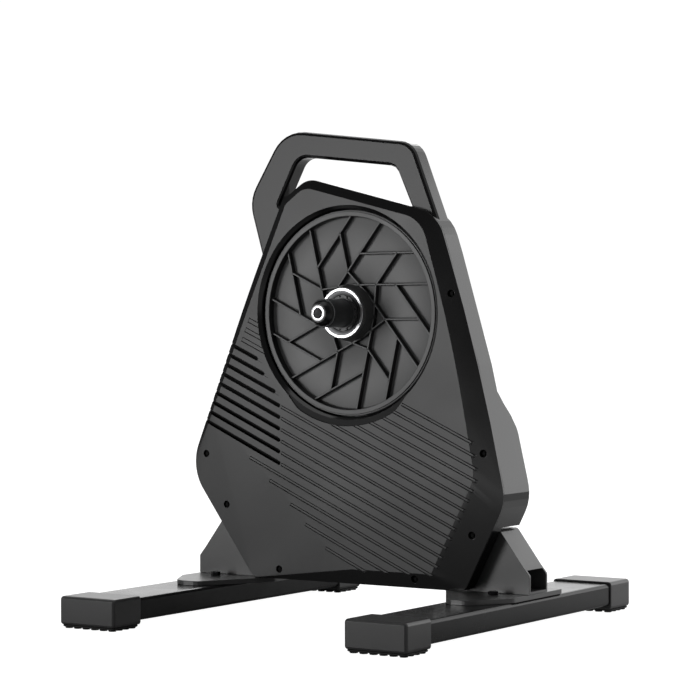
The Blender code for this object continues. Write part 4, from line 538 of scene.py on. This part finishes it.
def paint_cover(cover):
    """Matt on the face and its lower-left facet, gloss on the sloped band; near-black painted shade in the screw
    holes, slot floors and twin groove lines, and a dimmer painted shade on the crescent below the opening.
    """
    mesh = cover.data
    mesh.materials.clear()
    for surface in (cover_plastic, cover_gloss, crescent_painted_shade, painted_shade_black):
        mesh.materials.append(surface.material)
    fold = Vector((184.0, 210.0)).normalized()
    for polygon in mesh.polygons:
        normal, centre = polygon.normal, polygon.center
        past_fold = Vector((centre.x - 0.008, centre.z - 0.0615)).dot(fold) < 0.0
        from_hub = math.hypot(centre.x, centre.z - HUB_Z)
        in_hole = any(math.dist((centre.x, centre.z), place) < 0.0051 for place in COVER_SCREWS)
        flat = normal.y < -0.9995
        # Screw hole walls: near-black painted shade.
        if in_hole and normal.y > -0.5:
            polygon.material_index = 3
        elif from_hub < 0.1312 and not flat:
            polygon.material_index = 1
        # Slot and screw hole floors, then the floors of the groove lines: near-black painted shade.
        elif flat and centre.y > FACE_Y + 0.0030:
            polygon.material_index = 3
        elif flat and FACE_Y + 0.0008 < centre.y < FACE_Y + 0.0011:
            polygon.material_index = 3
        # Crescent floor: dimmer painted shade.
        elif flat and centre.y > FACE_Y + 0.0010 and from_hub < 0.1375 and centre.z < HUB_Z:
            polygon.material_index = 2
        # Walls of the groove lines and of the crescent's step: near-black painted shade.
        elif normal.y > -0.5 and FACE_Y + 0.0003 < centre.y < FACE_Y + 0.0012:
            polygon.material_index = 3
        elif normal.y > -0.5:
            polygon.material_index = 0 if past_fold or centre.y < FACE_Y + 0.003 else 1
        else:
            facet = past_fold and normal.y < -0.99 and normal.x < 0.001
            polygon.material_index = 0 if flat or facet else 1


cover = cover_piece()
paint_cover(cover)
dress(cover, None, "frame", "front_cover", angle=5.0, slot="cover_plastic")


# Drive pulley: one moulding with interlocking ribs, a belt rim and a cone round the hub
WEB_Y = 0.0014
RIB_RISE = 0.0070
RIM_INNER = 0.1175
HUB_CONE = 0.0345


def rib(start, end):
    """A rib with a rounded crest and a filleted root between two points of the web."""
    along = (Vector(end) - Vector(start)).normalized()
    across = Vector((-along.y, along.x))
    half = ((0.0023, -0.0005), (0.0023, 0.0), (0.0017, 0.0001), (0.00145, 0.0004), (0.00135, 0.0010),
            (0.00115, RIB_RISE - 0.0006), (0.00100, RIB_RISE - 0.0002), (0.00060, RIB_RISE))
    section = [(-side, up) for side, up in half] + [(side, up) for side, up in half[::-1]]
    rings = []
    for point in (start, end):
        rings.append([(point.x + across.x * side, WEB_Y - up, HUB_Z + point.y + across.y * side)
                      for side, up in section])
    return loft("rib", rings)


def pulley_ribs():
    """Seven interlocking sets of ribs, each tangent to the hub."""
    pitch = math.tau / 7
    ribs = []
    for index in range(7):
        turn = math.radians(-25.3) + pitch * index

        def place(more, along, offset):
            direction = Vector((math.cos(turn + more), math.sin(turn + more)))
            return direction * along + Vector((-direction.y, direction.x)) * offset

        reach = RIM_INNER + 0.0010
        side_end = (0.0340 - 0.0720 * math.cos(pitch)) / math.sin(pitch)
        shift = 0.0080 * math.cos(pitch)
        corner = place(pitch, -(0.0340 + shift) / math.sin(pitch), 0.0080)
        heading = math.atan2(corner.y, corner.x) - math.acos(HUB_CONE / corner.length)
        tangent = Vector((math.cos(heading), math.sin(heading))) * (HUB_CONE - 0.0005)
        ribs.append(rib(place(0.0, -math.sqrt(reach ** 2 - 0.0340 ** 2), -0.0340), place(0.0, 0.0, -0.0340)))
        ribs.append(rib(place(0.0, -math.sqrt(reach ** 2 - 0.0720 ** 2), -0.0720),
                        place(0.0, side_end, -0.0720)))
        ribs.append(rib(place(pitch, -(0.0720 + shift) / math.sin(pitch), 0.0080), corner))
        ribs.append(rib(corner, tangent))
    return ribs


def pulley_piece():
    body = turned("pulley_body", (
        (0.0178, -0.0199), (0.0309, -0.0199), (0.0314, -0.0195), (0.0343, -0.0064), (0.0346, -0.0050),
        (0.0348, 0.0000), (0.0352, 0.0010), (0.0362, WEB_Y), (0.1155, WEB_Y), (0.1166, 0.0010),
        (0.1172, 0.0000), (0.1176, -0.0084), (0.1178, -0.0090), (0.1183, -0.00925), (0.1229, -0.00925),
        (0.1233, -0.0090), (0.1234, -0.0086), (0.1234, -0.00765), (0.1248, -0.00765), (0.1250, -0.0075),
        (0.1250, -0.0065), (0.1248, -0.00635), (0.1215, -0.00635), (0.1215, 0.00845), (0.1250, 0.00845),
        (0.1250, 0.00975), (0.1176, 0.00975), (0.1172, 0.0050), (0.1164, 0.0044), (0.0355, 0.0044),
        (0.0345, 0.0050), (0.0258, 0.00975), (0.0178, 0.00975)), (0.0, HUB_Z), 200)
    return merged("pulley_moulding", [body] + pulley_ribs())


def paint_pulley(pulley):
    """Satin on everything that faces forward and on the hub's cone, gloss on the steep walls; the cone and the
    steep walls are painted darker than the web as painted shade.
    """
    mesh = pulley.data
    mesh.materials.clear()
    for surface in (pulley_black, steep_wall_gloss_and_shade, cone_painted_shade):
        mesh.materials.append(surface.material)
    for polygon in mesh.polygons:
        centre = polygon.center
        on_cone = math.hypot(centre.x, centre.z - HUB_Z) < 0.0349 and centre.y < 0.0
        steep = abs(polygon.normal.y) < 0.5
        polygon.material_index = 2 if on_cone else 1 if steep else 0


pulley = pulley_piece()
dress(pulley, None, "drive_pulley", "drive_pulley", "pulley_rim", "pulley_hub",
      angle=24.0, slot="black_aluminium")
paint_pulley(pulley)


# Hub: polished rings, cone nose and freehub body
def hub_piece(name, surface, body, node, slot, profile, angle=24.0):
    return dress(turned(name, profile, (0.0, HUB_Z), 144), surface, body, node, angle=angle, slot=slot)


hub_piece("lock_ring_fine", polished_steel, "drive_pulley", "lock_ring", "polished_steel", (
    (0.0270, -0.0239), (0.0273, -0.0242), (0.0300, -0.0242), (0.0304, -0.0240), (0.0305, -0.0236),
    (0.0305, -0.0202), (0.0270, -0.0202)))
hub_piece("hub_seal_fine", seal_grey, "drive_pulley", "hub_seal", "dark_steel", (
    (0.0223, -0.0216), (0.0228, -0.0218), (0.0262, -0.0228), (0.0267, -0.0228), (0.0267, -0.0202),
    (0.0223, -0.0202)))
end_ring = hub_piece("drive_end_ring", polished_steel, "frame", "drive_end_cap", "polished_steel", (
    (0.0060, -0.0740), (0.0060, -0.0748), (0.0066, -0.0756), (0.0092, -0.0756), (0.0097, -0.0754),
    (0.00985, -0.0750), (0.00985, -0.0656), (0.0070, -0.0656), (0.0070, -0.0576), (0.0060, -0.0576)))
for surface in (nose_black, bore_grey):
    end_ring.data.materials.append(surface.material)
for polygon in end_ring.data.polygons:
    reach = math.hypot(polygon.center.x, polygon.center.z - HUB_Z)
    if reach < 0.0064:
        polygon.material_index = 1 if polygon.center.y < -0.0741 else 2
hub_piece("cone_nose", nose_black, "frame", "dust_cap", "black_aluminium", (
    (0.01015, -0.0748), (0.0108, -0.0748), (0.0112, -0.0745), (0.0158, -0.0668), (0.0159, -0.0664),
    (0.01015, -0.0664)))


def freehub_piece():
    """Smooth barrel with a raised lip, and a collar with twelve windows."""
    body = turned("freehub_fine", (
        (0.0140, -0.0644), (0.0152, -0.0656), (0.0164, -0.0656), (0.0172, -0.0652), (0.0174, -0.0645),
        (0.0174, -0.0634), (0.0172, -0.0631), (0.0172, -0.0292), (0.0169, -0.0289), (0.0169, -0.0282),
        (0.0172, -0.0279), (0.0173, -0.0240), (0.0176, -0.0234), (0.0184, -0.0233), (0.0211, -0.0233),
        (0.0215, -0.0229), (0.0215, -0.0209), (0.0213, -0.0207), (0.0140, -0.0207)), (0.0, HUB_Z), 144)
    windows = []
    for index in range(12):
        bm = bmesh.new()
        bmesh.ops.create_cube(bm, size=1.0, matrix=Matrix.Translation((0.0208, -0.0230, 0.0))
                              @ Matrix.Diagonal((0.0040, 0.0026, 0.0072, 1.0)))
        turn = Matrix.Translation((0.0, 0.0, HUB_Z)) @ Matrix.Rotation(math.tau * index / 12, 4, "Y")
        bmesh.ops.transform(bm, matrix=turn, verts=bm.verts)
        windows.append(to_object("window", bm))
    boolean(body, merged("windows", windows))
    body.data.materials.clear()
    for surface in (black_aluminium, machined_steel, painted_shade_black):
        body.data.materials.append(surface.material)
    for polygon in body.data.polygons:
        spoke = Vector((polygon.center.x, 0.0, polygon.center.z - HUB_Z))
        outward = polygon.normal.dot(spoke.normalized())
        in_window = 0.0184 < spoke.length < 0.0192 and outward > 0.9 and polygon.center.y < -0.0215
        # Window side walls get near-black painted shade.
        window_wall = 0.0186 < spoke.length < 0.0213 and abs(outward) < 0.5 and abs(polygon.normal.y) < 0.5
        on_lip = spoke.length > 0.01722 and polygon.center.y < -0.0646
        polygon.material_index = 1 if in_window or on_lip else 2 if window_wall else 0
    return body


dress(freehub_piece(), None, "freehub", "freehub_body", angle=24.0, slot="black_aluminium")


# Foot pads: a sole as wide as the end cap, with rows of studs under it
PAD_X = 0.2017
PAD_HALF_WIDTH = 0.0390
PAD_OUTER_Y, PAD_INNER_Y = 0.2626, 0.2146
SOLE_Z, PAD_TOP_Z = 0.0019, 0.0039
STUDS_ACROSS, STUDS_ALONG = 6, 4


def pad_piece(name, side, end):
    low, high = sorted((end * PAD_OUTER_Y, end * PAD_INNER_Y))
    corners = ((side * PAD_X - PAD_HALF_WIDTH, low, 0.0040), (side * PAD_X + PAD_HALF_WIDTH, low, 0.0040),
               (side * PAD_X + PAD_HALF_WIDTH, high, 0.0040), (side * PAD_X - PAD_HALF_WIDTH, high, 0.0040))
    outline = rounded(corners)
    narrow = rounded(corners, -0.0007)
    sole = loft("sole", [[(x, y, z) for x, y in ring] for ring, z in (
        (narrow, SOLE_Z), (outline, SOLE_Z + 0.0006), (outline, PAD_TOP_Z))])
    bm = bmesh.new()
    for column in range(STUDS_ACROSS):
        for row in range(STUDS_ALONG):
            x = side * PAD_X + (column + 0.5 - STUDS_ACROSS / 2.0) * 2.0 * PAD_HALF_WIDTH / STUDS_ACROSS
            y = low + (row + 0.5) * (high - low) / STUDS_ALONG
            bmesh.ops.create_cone(bm, cap_ends=True, segments=20, radius1=0.0044, radius2=0.0054,
                                  depth=SOLE_Z + 0.0004, matrix=Matrix.Translation((x, y, SOLE_Z / 2.0 + 0.0002)))
    return merged(name, [sole, to_object("studs", bm)])


for side, word in ((-1.0, "left"), (1.0, "right")):
    for end, place in ((-1.0, "front"), (1.0, "rear")):
        dress(pad_piece(f"pad_fine_{place}_{word}", side, end), pad_rubber, "frame", f"foot_pad_{place}_{word}",
              slot="pad_rubber")


# Floor, light and camera
floor_mesh = bpy.data.meshes.new("floor")
bm = bmesh.new()
bmesh.ops.create_grid(bm, x_segments=1, y_segments=1, size=30.0)
bm.to_mesh(floor_mesh)
bm.free()
floor = bpy.data.objects.new("floor", floor_mesh)
bpy.context.scene.collection.objects.link(floor)
floor_look = Surface("floor_look", (0.30, 0.30, 0.30), 0.8)
floor_look.bump(floor_look.noise(300.0), 0.00001)
floor_look.shader.inputs["Emission Color"].default_value = (1.0, 1.0, 1.0, 1.0)
floor_look.shader.inputs["Specular IOR Level"].default_value = 0.1
# The floor glows as a hidden light: even white to the camera; for other rays a painted glow that is dim under the
# object, brighter behind it to the right, and brighter far off, most of all to the left.
floor_seen = floor_look.add("ShaderNodeLightPath")
floor_glow = floor_look.add("ShaderNodeMapRange")
floor_glow.inputs["To Max"].default_value = 1.00
floor_reach = floor_look.add("ShaderNodeVectorMath", operation="LENGTH")
floor_look.link(floor_look.place, floor_reach.inputs[0])
floor_far = floor_look.add("ShaderNodeMapRange")
floor_far.inputs["From Min"].default_value = 0.55
floor_far.inputs["From Max"].default_value = 1.30
floor_parts = floor_look.add("ShaderNodeSeparateXYZ")
floor_look.link(floor_look.place, floor_parts.inputs["Vector"])
floor_left = floor_look.add("ShaderNodeMapRange")
floor_left.inputs["From Min"].default_value = -0.55
floor_left.inputs["From Max"].default_value = -0.10
floor_left.inputs["To Min"].default_value = 0.60
floor_left.inputs["To Max"].default_value = 0.22
floor_look.link(floor_parts.outputs["X"], floor_left.inputs["Value"])
floor_look.link(floor_left.outputs["Result"], floor_far.inputs["To Max"])
floor_behind = floor_look.add("ShaderNodeVectorMath", operation="DOT_PRODUCT")
floor_behind.inputs[1].default_value = (0.8, 0.6, 0.0)
floor_look.link(floor_look.place, floor_behind.inputs[0])
floor_near = floor_look.add("ShaderNodeMapRange")
floor_near.inputs["From Min"].default_value = 0.20
floor_near.inputs["From Max"].default_value = 0.50
floor_near.inputs["To Min"].default_value = 0.03
floor_near.inputs["To Max"].default_value = 0.45
floor_look.link(floor_behind.outputs["Value"], floor_near.inputs["Value"])
floor_look.link(floor_near.outputs["Result"], floor_far.inputs["To Min"])
floor_look.link(floor_reach.outputs["Value"], floor_far.inputs["Value"])
floor_look.link(floor_far.outputs["Result"], floor_glow.inputs["To Min"])
floor_look.link(floor_seen.outputs["Is Camera Ray"], floor_glow.inputs["Value"])
floor_look.link(floor_glow.outputs["Result"], floor_look.shader.inputs["Emission Strength"])
floor.data.materials.append(floor_look.material)


def softbox(name, azimuth, elevation, distance, width, height, power, target=(0, 0, 0.28)):
    """A rectangular light that faces the object."""
    light = bpy.data.lights.new(name, "AREA")
    light.shape = "RECTANGLE"
    light.size = width
    light.size_y = height
    light.energy = power
    lamp = bpy.data.objects.new(name, light)
    bpy.context.scene.collection.objects.link(lamp)
    a, e = math.radians(azimuth), math.radians(elevation)
    away = Vector((math.sin(a) * math.cos(e), -math.cos(a) * math.cos(e), math.sin(e)))
    lamp.location = Vector(target) + away * distance
    lamp.rotation_mode = "QUATERNION"
    lamp.rotation_quaternion = (-away).to_track_quat("-Z", "Y")
    return lamp


softbox("key_light", -30.0, 4.5, 3.2, 0.9, 0.9, 27.5)
softbox("top_light", -20.0, 78.0, 3.0, 2.2, 2.2, 16.0)
softbox("side_light", 147.0, 8.0, 3.2, 2.2, 2.2, 14.0)
softbox("back_light", 215.0, 30.0, 3.2, 2.0, 1.6, 14.0)


def studio_world():
    """White all round to the eye, and a dim front with a bright back for the gloss."""
    world = bpy.data.worlds.new("studio")
    bpy.context.scene.world = world
    world.use_nodes = True
    tree = world.node_tree
    sky = tree.nodes["Background"]
    place = tree.nodes.new("ShaderNodeTexCoord")
    towards = tree.nodes.new("ShaderNodeVectorMath")
    towards.operation = "DOT_PRODUCT"
    towards.inputs[1].default_value = (0.12, 0.992, 0.03)
    tree.links.new(place.outputs["Generated"], towards.inputs[0])
    glow = tree.nodes.new("ShaderNodeMapRange")
    glow.interpolation_type = "SMOOTHSTEP"
    glow.inputs["From Min"].default_value = -0.10
    glow.inputs["From Max"].default_value = 0.90
    glow.inputs["To Min"].default_value = 0.12
    glow.inputs["To Max"].default_value = 1.22
    tree.links.new(towards.outputs["Value"], glow.inputs["Value"])
    seen = tree.nodes.new("ShaderNodeLightPath")
    strength = tree.nodes.new("ShaderNodeMix")
    strength.inputs["B"].default_value = 1.05
    tree.links.new(seen.outputs["Is Camera Ray"], strength.inputs["Factor"])
    tree.links.new(glow.outputs["Result"], strength.inputs["A"])
    sky.inputs["Color"].default_value = (1.0, 1.0, 1.0, 1.0)
    tree.links.new(strength.outputs["Result"], sky.inputs["Strength"])


studio_world()

YAW, PITCH, ROLL = 0.5816, 0.0171372, -0.0021
camera_data = bpy.data.cameras.new("camera")
camera_data.sensor_width = 36.0
camera_data.lens = 128.887
camera_data.clip_end = 100.0
camera = bpy.data.objects.new("camera", camera_data)
bpy.context.scene.collection.objects.link(camera)
forward = Vector((-math.sin(YAW) * math.cos(PITCH), math.cos(YAW) * math.cos(PITCH), -math.sin(PITCH)))
camera.location = (1.67505, -2.55342, 0.37973)
camera.rotation_mode = "QUATERNION"
camera.rotation_quaternion = (
    forward.to_track_quat("-Z", "Y") @ Matrix.Rotation(ROLL, 3, "Z").to_quaternion()
)
bpy.context.scene.camera = camera
bpy.context.scene.view_settings.view_transform = "Standard"

bpy.context.view_layer.update()
